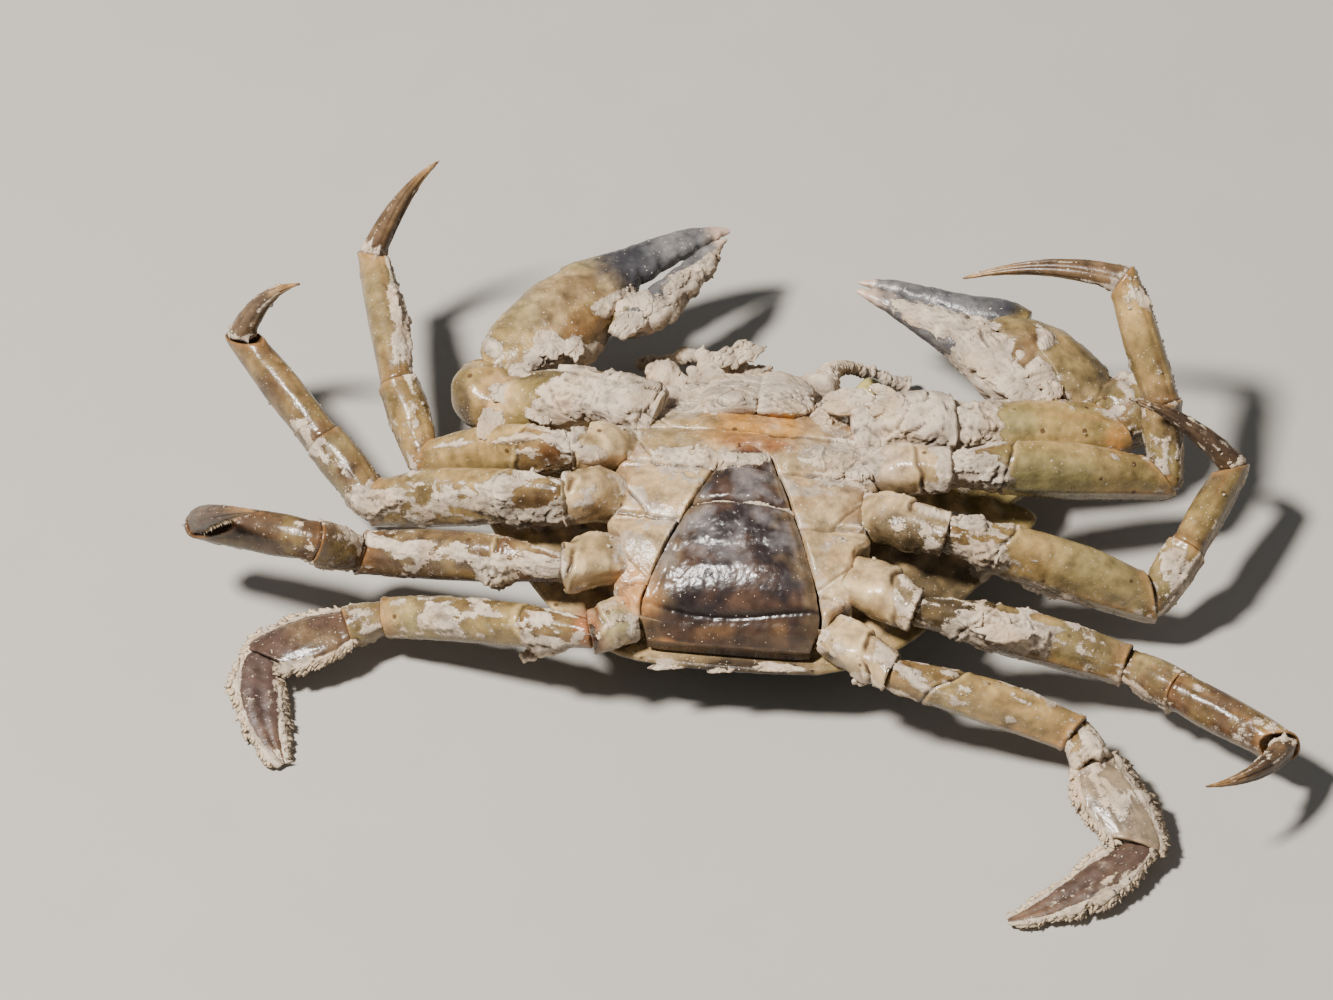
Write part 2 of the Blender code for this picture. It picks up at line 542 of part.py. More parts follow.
def main():
    for old in list(bpy.data.objects):
        bpy.data.objects.remove(old)
    make_carapace()
    make_sternum()
    make_pleon("pleon", -13.4, -3.15, (-12.35,))
    make_pleon("pleon_tip", -2.85, TAIL_TIP, (0.7,))
    for side_name, side in (("left", 1), ("right", -1)):
        make_maxilliped(side_name, side)
        make_head(side_name, side)
        make_claw(side_name, side)
        for limb in (2, 3, 4, 5):
            make_leg(limb, side_name, side)


main()
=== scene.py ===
# %% [markdown]
# # A green crab lying on its back
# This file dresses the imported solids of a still, life-size crab. Every shell piece is worked out again as
# a fine numpy surface with the same driving sizes as the solid that it stands for, then given its seams,
# ridges and dried mud, and a node material that reads what the mesh carries. Lengths are millimetres
# until a mesh is made, and angles are degrees where a name says so.

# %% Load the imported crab
import bpy
import numpy as np
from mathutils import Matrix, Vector


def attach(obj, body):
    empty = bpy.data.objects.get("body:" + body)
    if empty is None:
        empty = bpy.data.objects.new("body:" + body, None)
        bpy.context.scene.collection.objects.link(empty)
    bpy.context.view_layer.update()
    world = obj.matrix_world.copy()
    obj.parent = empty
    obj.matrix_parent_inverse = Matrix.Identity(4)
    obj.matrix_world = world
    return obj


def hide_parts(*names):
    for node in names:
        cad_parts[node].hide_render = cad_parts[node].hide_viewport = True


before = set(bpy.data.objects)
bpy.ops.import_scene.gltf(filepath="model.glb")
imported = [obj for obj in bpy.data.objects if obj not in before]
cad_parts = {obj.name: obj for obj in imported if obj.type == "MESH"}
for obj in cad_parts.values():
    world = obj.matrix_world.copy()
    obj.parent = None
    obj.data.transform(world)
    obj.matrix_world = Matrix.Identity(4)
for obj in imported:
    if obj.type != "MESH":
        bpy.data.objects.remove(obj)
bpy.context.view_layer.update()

print("solids:", len(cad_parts))

# %% [markdown]
# ## Sizes and pose
# The joints of each limb are the crab's pose. They repeat the solids' own values, because a fine surface
# has to lie where its solid lies. The body has its own frame, turned a little on the floor.

# %% Driving sizes
MM = 0.001
GAP = 0.3
CARAPACE_WIDTH = 47.0
CARAPACE_FRONT = 21.3
CARAPACE_REAR = -14.2
WIDEST_AT = 6.0
FRONT_HALF_WIDTH = 5.6
ORBIT_HALF_WIDTH = 11.0
ORBIT_DEPTH = 3.0
DOME_DEPTH = 6.5
TEETH_PER_SIDE = 5
TOOTH_NOTCH = 1.9
TOOTH_FADE = 12
TOOTH_BLUR = 0.17
PLEON_POCKET = 1.3
MOUTH_FRONT = 16.2
STERNUM_REAR = -12.4
TAIL_TIP = 3.3
BODY_TURN = np.radians(6.0)
BODY_OFFSET = np.array([0.4, 0.0, 0.0])
FOOTPRINT_CENTRE = np.array([-0.46, -1.891, 0.0])
BREAST_SEAMS = (6.2, 1.2, -4.3, -9.8)
HIP_SEAT = {1: (8.6, 12.7), 2: (3.7, 13.4), 3: (-1.2, 13.4), 4: (-7.3, 12.5), 5: (-12.0, 10.4)}
HIP_HALF_SIZE = {1: (2.2, 2.2), 2: (1.9, 2.1), 3: (2.0, 2.1), 4: (2.1, 2.0), 5: (1.8, 1.8)}
print("back shell:", CARAPACE_WIDTH, "mm wide,", CARAPACE_FRONT - CARAPACE_REAR, "mm long")

# %% Where each joint lies
SIDES = (("left", 1), ("right", -1))
LEG_JOINTS = {
    ("leg2", "right"): (
        (-14.0, 3.1, 15.0), (-26.2, 8.7, 7.5), (-28.6, 15.3, 10.0), (-30.8, 27.5, 13.0),
        (-25.2, 29.1, 22.5)),
    ("leg2", "left"): (
        (17.5, 1.5, 14.5), (35.4, 6.0, 8.5), (35.1, 10.0, 13.7), (31.8, 17.2, 21.0), (18.6, 18.5, 19.5)),
    ("leg3", "right"): (
        (-14.8, -1.5, 14.5), (-30.4, 5.0, 6.5), (-34.8, 10.3, 8.5), (-41.8, 19.1, 12.0),
        (-36.7, 16.5, 21.0)),
    ("leg3", "left"): (
        (17.1, -5.3, 14.0), (34.2, -5.0, 5.5), (37.2, -1.8, 8.5), (41.2, 6.6, 9.4), (32.3, 6.2, 18.1)),
    ("leg4", "right"): (
        (-14.8, -8.0, 13.0), (-31.8, -1.9, 8.0), (-35.3, -4.6, 12.5), (-45.0, -1.0, 11.0),
        (-39.8, -7.6, 19.5)),
    ("leg4", "left"): (
        (14.6, -11.9, 12.0), (32.1, -12.7, 6.0), (36.2, -15.9, 6.5), (44.8, -21.7, 6.0),
        (38.1, -29.2, 9.8)),
    ("leg5", "right"): (
        (-12.5, -12.9, 10.3), (-29.6, -6.0, 4.5), (-32.8, -6.7, 4.0), (-39.8, -8.5, 2.2),
        (-37.8, -18.7, 0.6)),
    ("leg5", "left"): (
        (12.5, -16.9, 9.8), (27.7, -18.9, 4.5), (29.2, -21.9, 3.8), (32.7, -29.3, 2.2),
        (21.9, -35.8, 0.6)),
}
LEG_KINDS = ("merus", "carpus", "propodus", "dactyl")
LEG_SIZES = {
    "leg2": ((1.75, 2.7), (1.7, 1.9), (1.5, 1.8), (1.0, 1.1)),
    "leg3": ((1.75, 2.7), (1.7, 1.9), (1.5, 1.8), (1.0, 1.1)),
    "leg4": ((1.6, 2.3), (1.6, 1.8), (1.6, 1.8), (1.0, 1.1)),
    "leg5": ((1.6, 2.0), (1.6, 1.6), (2.3, 0.95), (1.7, 0.6)),
}
CLAW_JOINTS = {
    "right": ((-11.4, 11.8, 12.2), (-19.6, 13.9, 8.9), (-21.2, 17.7, 8.5)),
    "left": ((17.7, 8.0, 12.2), (31.0, 10.7, 9.0), (31.0, 15.0, 9.5)),
}
CLAW_PALM = {
    "right": (
        (-21.2, 17.9, 8.5), (-19.3, 19.8, 8.9), (-16.8, 21.8, 9.2), (-14.2, 23.5, 9.5),
        (-12.4, 25.2, 9.8), (-10.0, 27.6, 10.1), (-7.2, 29.4, 10.4), (-4.4, 30.7, 10.8),
        (-2.2, 31.5, 11.0), (-0.8, 31.8, 11.0)),
    "left": (
        (31.0, 15.2, 9.5), (29.0, 15.9, 9.8), (26.5, 16.6, 10.2), (24.0, 16.8, 10.7), (22.0, 16.4, 11.1),
        (19.8, 17.5, 11.5), (17.2, 19.2, 12.0), (14.2, 21.0, 12.4), (11.6, 22.4, 12.8),
        (9.9, 23.1, 13.0)),
}
PALM_HALF_WIDTH = (1.6, 2.9, 3.8, 4.0, 3.5, 2.0, 1.5, 1.1, 0.7, 0.15)
PALM_HALF_THICKNESS = (1.5, 2.5, 3.0, 3.1, 2.7, 1.7, 1.3, 1.0, 0.6, 0.15)
CLAW_FINGER = {
    "right": (
        (-10.4, 23.2, 9.5), (-8.6, 23.2, 9.7), (-6.4, 25.0, 10.0), (-4.2, 27.5, 10.4), (-2.5, 29.5, 10.8),
        (-1.1, 30.9, 11.0)),
    "left": (
        (24.0, 20.3, 11.3), (22.0, 21.1, 11.6), (19.2, 21.7, 12.0), (15.8, 22.8, 12.4),
        (12.4, 23.8, 12.8), (10.0, 24.1, 13.0)),
}
FINGER_HALF_WIDTH = (1.5, 1.7, 1.35, 0.95, 0.6, 0.12)
MERUS_PROFILE = {"leg2": (0.6, 0.9, 1.0, 0.92, 0.68), "leg3": (0.6, 0.88, 1.0, 0.98, 0.8),
                 "leg4": (0.62, 0.88, 1.0, 0.98, 0.86), "leg5": (0.7, 0.9, 1.0, 0.98, 0.9)}
CARPUS_PROFILE = (0.78, 0.92, 1.0, 1.02, 0.96)
PROPODUS_PROFILE = (0.92, 1.0, 1.0, 0.93, 0.8)
PADDLE_PROFILE = (0.72, 0.95, 1.0, 0.92, 0.72)
DACTYL_PROFILE = (1.0, 0.85, 0.62, 0.36, 0.08)
PADDLE_TIP_PROFILE = (0.75, 1.0, 0.85, 0.5, 0.08)
ARM_PROFILE = (0.8, 0.95, 1.0, 1.02, 0.95)
WRIST_PROFILE = (0.85, 1.05, 1.12, 1.0, 0.75)
print("limb tables:", len(LEG_JOINTS), "legs,", len(CLAW_JOINTS), "claws")

# %% [markdown]
# ## How the picture looks down on the crab
# The camera looks along +Y from 48 degrees above the floor through a long lens, so one formula says where
# a point shows in the 1333 by 1000 picture. Mud and colour zones are named by the spot where they show.

# %% The picture's plane
VIEW_ELEVATION = np.radians(48.0)
VIEW_SINE, VIEW_COSINE = np.sin(VIEW_ELEVATION), np.cos(VIEW_ELEVATION)
PIXELS_PER_MM = 12.0
ORIGIN_PIXEL = (740.0, 600.0)
PICTURE_SIZE = (1333.0, 1000.0)


def picture(points):
    """u = 740 + 12 x, v = 600 - 12 (y sin 48 + z cos 48), for points in millimetres."""
    x, y, z = np.moveaxis(points, -1, 0)
    rise = y * VIEW_SINE + z * VIEW_COSINE
    return ORIGIN_PIXEL[0] + PIXELS_PER_MM * x, ORIGIN_PIXEL[1] - PIXELS_PER_MM * rise


def patch(points, u, v, half_u, half_v, turn=0.0):
    """A soft ellipse in the picture's plane: exp(-(a^2 + b^2)^2), a and b being turned, scaled offsets."""
    at_u, at_v = picture(points)
    angle = np.radians(turn)
    along = ((at_u - u) * np.cos(angle) + (at_v - v) * np.sin(angle)) / half_u
    across = ((at_v - v) * np.cos(angle) - (at_u - u) * np.sin(angle)) / half_v
    return np.exp(-np.minimum((along ** 2 + across ** 2) ** 2, 50.0))


print("body centre shows at", [round(float(at)) for at in picture(np.array([0.4, 3.0, 15.0]))])

# %% [markdown]
# ## Small mathematics
# Directions of length one, a smooth curve through a few values, and the turn of the body on the floor.
# Most lines and swellings are a soft step or a bell of some distance. They could be sculpted by hand, but
# a formula can be measured and changed later.

# %% Curves and directions
def unit(vectors):
    """Vectors divided by their length, along the last axis."""
    return vectors / np.maximum(np.linalg.norm(vectors, axis=-1, keepdims=True), 1e-12)


def smooth(t, knots, values):
    """Cubic curve through the values at the knots, with slopes averaged from the neighbours."""
    t, knots, values = (np.asarray(item, float) for item in (t, knots, values))
    slopes = np.gradient(values, knots, axis=0)
    i = np.clip(np.searchsorted(knots, t, side="right") - 1, 0, len(knots) - 2)
    span = knots[i + 1] - knots[i]
    s = np.clip((t - knots[i]) / span, 0.0, 1.0)
    if values.ndim == 2:
        span, s = span[..., None], s[..., None]
    rise = (1 + 2 * s) * (1 - s) ** 2 * values[i] + s * s * (3 - 2 * s) * values[i + 1]
    return rise + span * (s * (1 - s) ** 2 * slopes[i] + s * s * (s - 1) * slopes[i + 1])


def step(low, high, value):
    """Rises from 0 at low to 1 at high as 3 s^2 - 2 s^3."""
    s = np.clip((value - low) / (high - low), 0.0, 1.0)
    return s * s * (3 - 2 * s)


def bump(value, centre, width):
    """A bell of height one: exp(-((value - centre) / width)^2)."""
    return np.exp(-np.minimum(((value - centre) / width) ** 2, 50.0))


def together(*coordinates):
    """Coordinates of shapes that fit each other, spread to one shape and stacked as points."""
    return np.stack(np.broadcast_arrays(*coordinates), axis=-1)


def ring_angles(sides):
    """Equal angles once round, in radians."""
    return np.linspace(0, 2 * np.pi, sides, endpoint=False)


def wrapped(angle):
    """The same direction as an angle between -pi and pi."""
    return np.angle(np.exp(1j * angle))


def stretches(path):
    """Length of each stretch of a broken line."""
    return np.linalg.norm(np.diff(path, axis=0), axis=1)


def to_world(points):
    """Body-frame points turned by BODY_TURN about the upright and moved by BODY_OFFSET."""
    x, y, z = np.moveaxis(np.asarray(points, float), -1, 0)
    return together(x * np.cos(BODY_TURN) + y * np.sin(BODY_TURN),
                    y * np.cos(BODY_TURN) - x * np.sin(BODY_TURN), z) + BODY_OFFSET


print("the head's tip lies at", to_world((0.0, CARAPACE_FRONT, 0.0)).round(1))

# %% [markdown]
# ## Noise, for everything that nature leaves uneven
# A number is worked out for each corner of an endless lattice by mixing its three whole coordinates, so
# the same point always gets the same value and nothing random is stored. Blended between corners it makes
# smooth noise; scattered as points it makes cells, whose borders are the cracks of drying mud.

# %% Noise helpers
def lattice(i, j, k, seed):
    """Whole-number coordinates times large primes, mixed by exclusive-or and shifts, read as 0 to 1."""
    mixed = (i * 73856093) ^ (j * 19349663) ^ (k * 83492791) ^ (seed * 26544357)
    mixed = (mixed ^ ((mixed >> 13) & 0x7FFFF)) * 1274126177
    return ((mixed ^ ((mixed >> 16) & 0xFFFF)) & 0xFFFFFF).astype(np.float32) / 0xFFFFFF


def noise(points, size, seed=0):
    """Corner values blended by 3 s^2 - 2 s^3 along each axis, from -1 to 1; size is one lattice step."""
    at = np.asarray(points, np.float32) / size
    low = np.floor(at)
    i, j, k = np.moveaxis(low.astype(np.int32), -1, 0)
    s = at - low
    s = s * s * (3 - 2 * s)
    total = 0.0
    for corner in range(8):
        a, b, c = corner & 1, (corner >> 1) & 1, corner >> 2
        weight = ((s[..., 0] if a else 1 - s[..., 0]) * (s[..., 1] if b else 1 - s[..., 1])
                  * (s[..., 2] if c else 1 - s[..., 2]))
        total = total + weight * lattice(i + a, j + b, k + c, seed)
    return 2 * total - 1


def rough(points, size, octaves=3, seed=0):
    """Noise plus half as much at half the size, and so on."""
    return sum(noise(points, size / 2 ** n, seed + n) / 2 ** n for n in range(octaves))


def cells(points, size, seed=0):
    """Distances to the nearest and second nearest scattered point, in cells, and the nearest's number."""
    at = np.asarray(points, np.float32) / size
    low = np.floor(at).astype(np.int32)
    nearest = np.full(at.shape[:-1], 9.0, np.float32)
    second = nearest.copy()
    number = np.zeros_like(nearest)
    for shift in np.ndindex(3, 3, 3):
        cell = low + np.array(shift, np.int32) - 1
        i, j, k = np.moveaxis(cell, -1, 0)
        spot = cell + np.stack([lattice(i, j, k, seed + part) for part in (11, 12, 13)], axis=-1)
        away = np.linalg.norm(at - spot, axis=-1)
        closer = away < nearest
        second = np.where(closer, nearest, np.minimum(second, away))
        number = np.where(closer, lattice(i, j, k, seed + 14), number)
        nearest = np.where(closer, away, nearest)
    return nearest, second, number


def noise_shift(points, reach, size, seed):
    """A shift for each point: a noise of its own along each axis, times reach."""
    return reach * np.stack([noise(points, size, seed + axis) for axis in range(3)], -1)


print("noise at the origin:", round(float(noise(np.zeros(3), 1.0)), 3))

# %% [markdown]
# ## Where the dried mud lies
# The crab dried out on a mudflat, and pale mud cakes it: thick, cracked plates over the mouth and the
# claw arms, thin films and crumbs elsewhere. A patch is an ellipse in the picture, with a strength: 1 is a
# thick cake, and below 0 the shell is wiped clean. Noise breaks every patch up, so no edge stays smooth.

# %% Mud patches: u, v, half width, half height, turn, strength
MUD_PATCHES = {
    "right claw's arm, plate": (569, 399, 38, 27, 0, 1.35),
    "right claw's hip": (634, 405, 36, 24, 0, 1.0),
    "front, left part": (690, 400, 64, 13, 3, 1.05),
    "front, middle rim": (772, 390, 70, 13, 0, 1.25),
    "front, lump over the amber": (826, 413, 17, 12, 0, 1.3),
    "front, right part": (893, 407, 50, 24, 10, 1.1),
    "left claw's hip": (945, 421, 52, 26, 8, 1.1),
    "left claw's arm, start": (985, 432, 20, 18, 0, 0.9),
    "seam before the tail tip": (694, 457, 46, 10, 6, 0.95),
    "tail tip": (748, 458, 30, 7, 0, 0.9),
    "breast, pale smear": (852, 446, 44, 10, -16, 0.75),
    "breast, white patch": (842, 478, 27, 8, 0, 0.9),
    "breast, right margin": (868, 470, 14, 26, 20, 0.6),
    "right second hip": (592, 455, 15, 10, 10, 0.85),
    "right second leg, root": (569, 444, 13, 10, 0, 1.0),
    "right second leg, top edge": (500, 440, 62, 4, -6, 0.8),
    "right third leg, middle": (470, 497, 62, 20, 6, 0.62),
    "right third leg, root": (540, 521, 36, 11, -8, 1.0),
    "right fourth leg, top edge": (430, 551, 95, 8, 9, 0.75),
    "right fourth leg, lower": (496, 577, 22, 10, 18, 0.85),
    "right fourth leg, root": (545, 565, 24, 16, 0, 0.35),
    "right fifth leg, lump": (548, 646, 24, 10, 10, 1.05),
    "right fifth leg, patches": (440, 618, 26, 10, 0, 0.5),
    "right fifth leg, lower edge": (512, 650, 34, 4, 4, 0.85),
    "left second leg, root": (962, 465, 34, 16, 10, 0.7),
    "left second leg, start": (994, 474, 20, 14, 0, 0.7),
    "left third leg, top": (966, 520, 22, 9, 15, 0.85),
    "left third leg, start": (985, 560, 26, 20, 30, 0.6),
    "left third leg, lower edge": (1030, 590, 64, 6, 14, 0.7),
    "left fourth leg, cake": (1010, 630, 48, 16, 15, 1.15),
    "left fifth leg, root": (858, 676, 13, 8, 20, 1.0),
    "left fifth leg, smears": (905, 672, 40, 8, 32, 0.45),
    "right palm, flake": (546, 346, 19, 21, 0, 1.35),
    "right palm, second flake": (574, 346, 9, 11, 0, 1.1),
    "right palm, crest": (616, 300, 24, 13, -30, 1.1),
    "right palm, lower edge": (592, 357, 20, 13, -30, 1.1),
    "right palm, base": (492, 348, 9, 10, 0, 1.0),
    "right palm, foot": (519, 371, 12, 8, 0, 0.8),
    "right moving finger": (688, 290, 62, 16, -47, 1.3),
    "left finger, lower side": (946, 320, 58, 15, 19, 1.15),
    "left palm, cake": (1000, 372, 54, 34, 10, 1.45),
    "left palm, lump": (1044, 336, 14, 12, 0, 1.35),
    "left palm, film": (1068, 384, 26, 28, 0, 0.35),
    "left second leg, inner strip": (1108, 344, 13, 62, -27, 1.0),
    "left second leg, knee": (1136, 300, 20, 12, 0, 0.4),
    "left third leg, middle": (1180, 560, 20, 34, 20, 0.25),
    "right second leg, outer strip": (399, 325, 10, 62, -8, 0.85),
    "right third leg, far strip": (300, 425, 70, 12, 48, 0.75),
    "right third leg, knee": (372, 500, 30, 14, 0, 0.8),
    "left fifth leg, far fringe": (1120, 770, 40, 70, 0, 0.45),
    "right fifth leg, far fringe": (272, 690, 44, 66, 0, 0.45),
}
CLEAN_PATCHES = {
    "right third leg, far half": (296, 406, 95, 24, 48, -0.28),
    "right arm, distal": (485, 405, 40, 34, 0, -0.8),
    "amber band": (756, 428, 64, 15, 0, -1.0),
    "hind rim": (735, 664, 110, 14, 0, -0.5),
    "tail tip": (746, 487, 34, 15, 0, -0.9),
    "right fourth leg, far": (225, 520, 60, 26, 10, -0.4),
    "right third leg, far": (290, 400, 40, 16, 50, -0.35),
    "left claw's arm": (1050, 432, 52, 24, 6, -0.8),
    "right third leg, brown window": (533, 496, 26, 12, -20, -1.1),
    "right breast plates": (660, 510, 38, 44, 0, -0.8),
    "left breast plates": (830, 530, 40, 48, 0, -0.1),
    "left second leg, back": (1085, 492, 85, 36, 4, -0.9),
    "left third leg, back": (1080, 560, 70, 24, 14, -0.4),
    "right palm, swell": (540, 312, 44, 26, -45, -1.2),
    "right fixed finger": (640, 258, 92, 20, -22, -1.1),
    "left palm, swell": (1088, 362, 26, 32, 40, -0.9),
    "left palm, gap in the cake": (1026, 350, 11, 26, 25, -1.5),
    "left palm, upper gap": (1048, 322, 16, 8, 20, -1.0),
    "left finger, upper edge": (950, 298, 100, 10, 13, -0.9),
    "tail flap": (730, 570, 90, 62, 0, -0.9),
    "right second leg, back": (480, 462, 70, 14, -6, -0.3),
}
BARE_SHELL = -0.32
WIDE_PLATE = 2.7
SMALL_PLATE = 1.0
MUD_LEDGES = ((0.0, 0.05, 0.06), (0.30, 0.36, 0.10), (0.58, 0.64, 0.15), (0.92, 0.98, 0.20),
              (1.25, 1.32, 0.22))


def mud_field(points):
    """Bare-shell level, plus strength times ellipse for each patch, plus coarse and fine noise."""
    field = BARE_SHELL + 0.30 * rough(points, 2.6, 3, 5) + 0.26 * rough(points, 0.8, 3, 9)
    for u, v, half_u, half_v, turn, strength in (*MUD_PATCHES.values(), *CLEAN_PATCHES.values()):
        field = field + strength * patch(points, u, v, half_u, half_v, turn)
    return field


def flaked(points, field):
    """The field, changed a little in each cell of two warped mosaics so that its edges break, and cracks."""
    warped = points + noise_shift(points, 0.40, 1.3, 31) + noise_shift(points, 0.05, 0.33, 34)
    wide, wide_second, wide_number = cells(warped, WIDE_PLATE, 3)
    small, small_second, small_number = cells(warped, SMALL_PLATE, 5)
    broken = field + 0.36 * (wide_number - 0.5) + 0.16 * (small_number - 0.5)
    return broken, (bump(wide_second, wide, 0.035), bump(small_second, small, 0.05)), wide


def mud_height(points, field, cracks, from_middle):
    """Millimetres of mud: five ledges, then plates that swell, curl up by distance^2 and crack apart."""
    layers = sum(height * step(low, high, field) for low, high, height in MUD_LEDGES)
    thick = step(0.50, 0.70, field)
    curl = 0.20 * thick * np.minimum(from_middle, 0.8) ** 2
    swell = 0.16 * rough(points, 2.6, 1, 39) * thick
    grain = 0.018 * rough(points, 0.35, 2, 41) * step(0.05, 0.4, field)
    crack = cracks[0] * thick * step(-0.3, 0.1, noise(points, 2.4, 37))
    cake = step(0.85, 1.1, field)
    return layers + curl + swell + grain - (0.28 + 0.25 * cake) * crack - 0.05 * cracks[1] * thick, crack


print("mud patches:", len(MUD_PATCHES), "clean patches:", len(CLEAN_PATCHES))

# %% [markdown]
# ## Colours of the shell
# A crab's shell is not one colour. Each piece starts from its own base, and zones named by the spot where
# they show then tint it: amber over the mouth, dark sockets, slate fingers. The result is stored in the
# mesh as a colour for each point, which the material reads, so it follows the surface in every view.

# %% Colours and tinted zones
def srgb(red, green, blue):
    """Screen values from 0 to 255 turned into linear light: ((c + 0.055) / 1.055)^2.4, or c / 12.92."""
    c = np.array([red, green, blue]) / 255.0
    return np.where(c > 0.04045, ((c + 0.055) / 1.055) ** 2.4, c / 12.92)


TAN = srgb(182, 150, 94)
OLIVE = srgb(146, 124, 74)
GREENISH = srgb(152, 142, 98)
BROWN = srgb(98, 66, 40)
UMBER = srgb(88, 68, 48)
DARK_BROWN = srgb(50, 34, 26)
ORANGE = srgb(170, 118, 68)
AMBER = srgb(190, 134, 64)
PINK_TAN = srgb(194, 164, 122)
CREAM = srgb(214, 188, 142)
SLATE = srgb(96, 97, 101)
TIP_PINK = srgb(208, 178, 156)
PURPLE_BROWN = srgb(80, 62, 56)
GREY_TAN = srgb(150, 134, 116)
TAIL_BLACK = srgb(44, 36, 36)
TAIL_BROWN = srgb(78, 58, 46)
BACK_OLIVE = srgb(92, 84, 50)
MUD_PALE = srgb(208, 190, 168)
MUD_GREY = srgb(166, 150, 132)
ZONES = {
    "amber band": (AMBER, 750, 427, 58, 19, 0, 0.92),
    "amber, red middle": (srgb(140, 88, 54), 760, 444, 40, 9, 5, 0.75),
    "amber, brown left end": (srgb(132, 100, 62), 716, 424, 20, 10, 20, 0.5),
    "olive beside the amber": (srgb(150, 126, 84), 670, 438, 36, 13, 0, 0.8),
    "olive left of the mouth": (srgb(142, 122, 82), 690, 423, 30, 8, 0, 0.6),
    "lilac film left of the tail tip": (srgb(178, 162, 152), 858, 462, 46, 26, 0, 0.5),
    "left arm, orange lobe": (srgb(178, 122, 62), 1117, 440, 12, 16, 0, 0.6),
    "left arm, green": (GREENISH, 1015, 424, 24, 16, 0, 0.6),
    "left breast, brown": (srgb(150, 124, 92), 838, 500, 40, 18, 0, 0.25),
    "left boss": (CREAM, 835, 590, 15, 15, 0, 0.8),
    "right seventh plate, sand": (srgb(200, 142, 86), 637, 590, 22, 26, -20, 0.75),
    "right hind corner, green": (srgb(168, 160, 112), 618, 622, 20, 16, 0, 0.7),
    "hind rim, dark": (srgb(58, 46, 34), 735, 672, 112, 20, 2, 0.9),
    "right hind rim, orange": (ORANGE, 664, 643, 14, 6, 10, 0.6),
    "third leg window": (DARK_BROWN, 533, 497, 26, 13, -20, 0.75),
    # painted shadow: the next two zones darken the carapace under the left legs
    "carapace, between the left legs": (srgb(72, 60, 42), 905, 535, 42, 26, 20, 0.85),
    "carapace, further back": (srgb(72, 60, 42), 945, 598, 56, 40, 20, 0.85),
    "fourth leg root": (srgb(96, 74, 66), 545, 565, 28, 16, 0, 0.7),
    "right second leg, root": (BROWN, 553, 452, 16, 16, 0, 0.8),
    "right fifth leg, root": (srgb(150, 92, 58), 590, 628, 14, 24, -10, 0.75),
    "right fourth leg, far": (srgb(78, 60, 48), 215, 520, 44, 26, 10, 0.85),
    "right fifth leg, far": (PURPLE_BROWN, 272, 690, 42, 66, 0, 0.9),
    "left fifth leg, tip": (PURPLE_BROWN, 1045, 890, 46, 14, -28, 0.6),
    "left second leg, green": (GREENISH, 1060, 496, 70, 28, 4, 0.55),
    "right palm, amber": (srgb(112, 82, 48), 590, 330, 30, 26, -30, 0.9),
    "right palm, brown back": (srgb(112, 90, 62), 560, 300, 44, 12, -40, 0.75),
    "right palm, dark foot": (srgb(70, 62, 48), 560, 366, 50, 14, -10, 0.8),
    "right palm, olive": (srgb(150, 134, 98), 520, 312, 26, 22, -45, 0.5),
    "right arm, peach": (srgb(216, 178, 132), 500, 396, 18, 22, 0, 0.6),
    "left palm, olive": (srgb(104, 88, 58), 1086, 362, 28, 38, 40, 0.85),
    # darker on the palm's lower right side
    "right palm, darker lower side": (srgb(86, 76, 60), 616, 346, 46, 24, -40, 0.85),
    "left palm, gap in the cake": (srgb(104, 78, 50), 1026, 350, 16, 30, 25, 0.85),
    "left palm, dark end": (srgb(84, 76, 62), 1112, 372, 12, 26, 20, 0.6),
    "left fifth hip, spot": (DARK_BROWN, 827, 655, 7, 5, 20, 0.95),
    # painted shade: the next two zones darken the far parts of the right third and second legs
    "right third leg, far": (UMBER, 296, 406, 100, 26, 48, 0.45),
    "right second leg, far": (UMBER, 398, 360, 20, 90, -14, 0.25),
    # painted shade on the wrist's left edge
    "right wrist, dark": (srgb(70, 62, 54), 462, 405, 10, 28, -10, 0.8),
    "left third leg, end": (srgb(66, 50, 40), 1186, 430, 62, 22, 31, 0.7),
    "left fifth leg, smooth tan": (srgb(176, 150, 104), 960, 700, 60, 14, 20, 0.4),
}


def mix(colour, other, share):
    """Straight blend of two colours: colour (1 - share) + other share."""
    share = np.asarray(share, float)[..., None]
    return colour * (1 - share) + other * share


def washed(colour, *washes):
    """A colour with others laid over it in turn, each given as (other, share)."""
    for other, share in washes:
        colour = mix(colour, other, share)
    return colour


def paint_zones(points, colour):
    """Each zone blended in where its ellipse lies, its edge broken by noise."""
    broken = 1 + 0.35 * rough(points, 1.4, 3, 61)
    for other, u, v, half_u, half_v, turn, strength in ZONES.values():
        share = np.clip(strength * patch(points, u, v, half_u, half_v, turn) * broken, 0, 1)
        colour = mix(colour, other, share)
    return colour


def limb_colour(points, ahead_share, dark=0.0):
    """Tan and olive in drifting patches, paler in places, browner at the far end; dark browns the whole."""
    patches = 0.5 + 0.5 * rough(points, 5.0, 3, 71)
    return washed(
        TAN, (OLIVE, step(0.25, 0.75, patches)), (GREENISH, 0.5 * step(0.1, 0.6, noise(points, 7.0, 75))),
        (UMBER, np.clip(dark * (1 + 0.8 * rough(points, 2.2, 3, 77)), 0, 1)),
        (ORANGE, 0.45 * step(0.90, 1.0, ahead_share)))


print("colour zones:", len(ZONES))

# %% [markdown]
# ## From a grid of points to a mesh
# A piece is a grid: one row of points for each place along it, closed round the side. The two ends are
# closed with a fan. Before that the grid is raised along its own normals by the relief and the mud, and
# what the material needs is kept with each point: mud, tint, and a painted shade that darkens hollows and
# the side that faces the ground, and lightens bumps a little.

# %% Grid helpers
FLOOR_CLEAR = 0.02
# painted shade: how strongly hollows are darkened and bumps lightened a little, and how dark the side facing
# down is painted
HOLLOW_SHADE = 4.0
UNDERSIDE_SHADE = 0.55
SKIN = {}


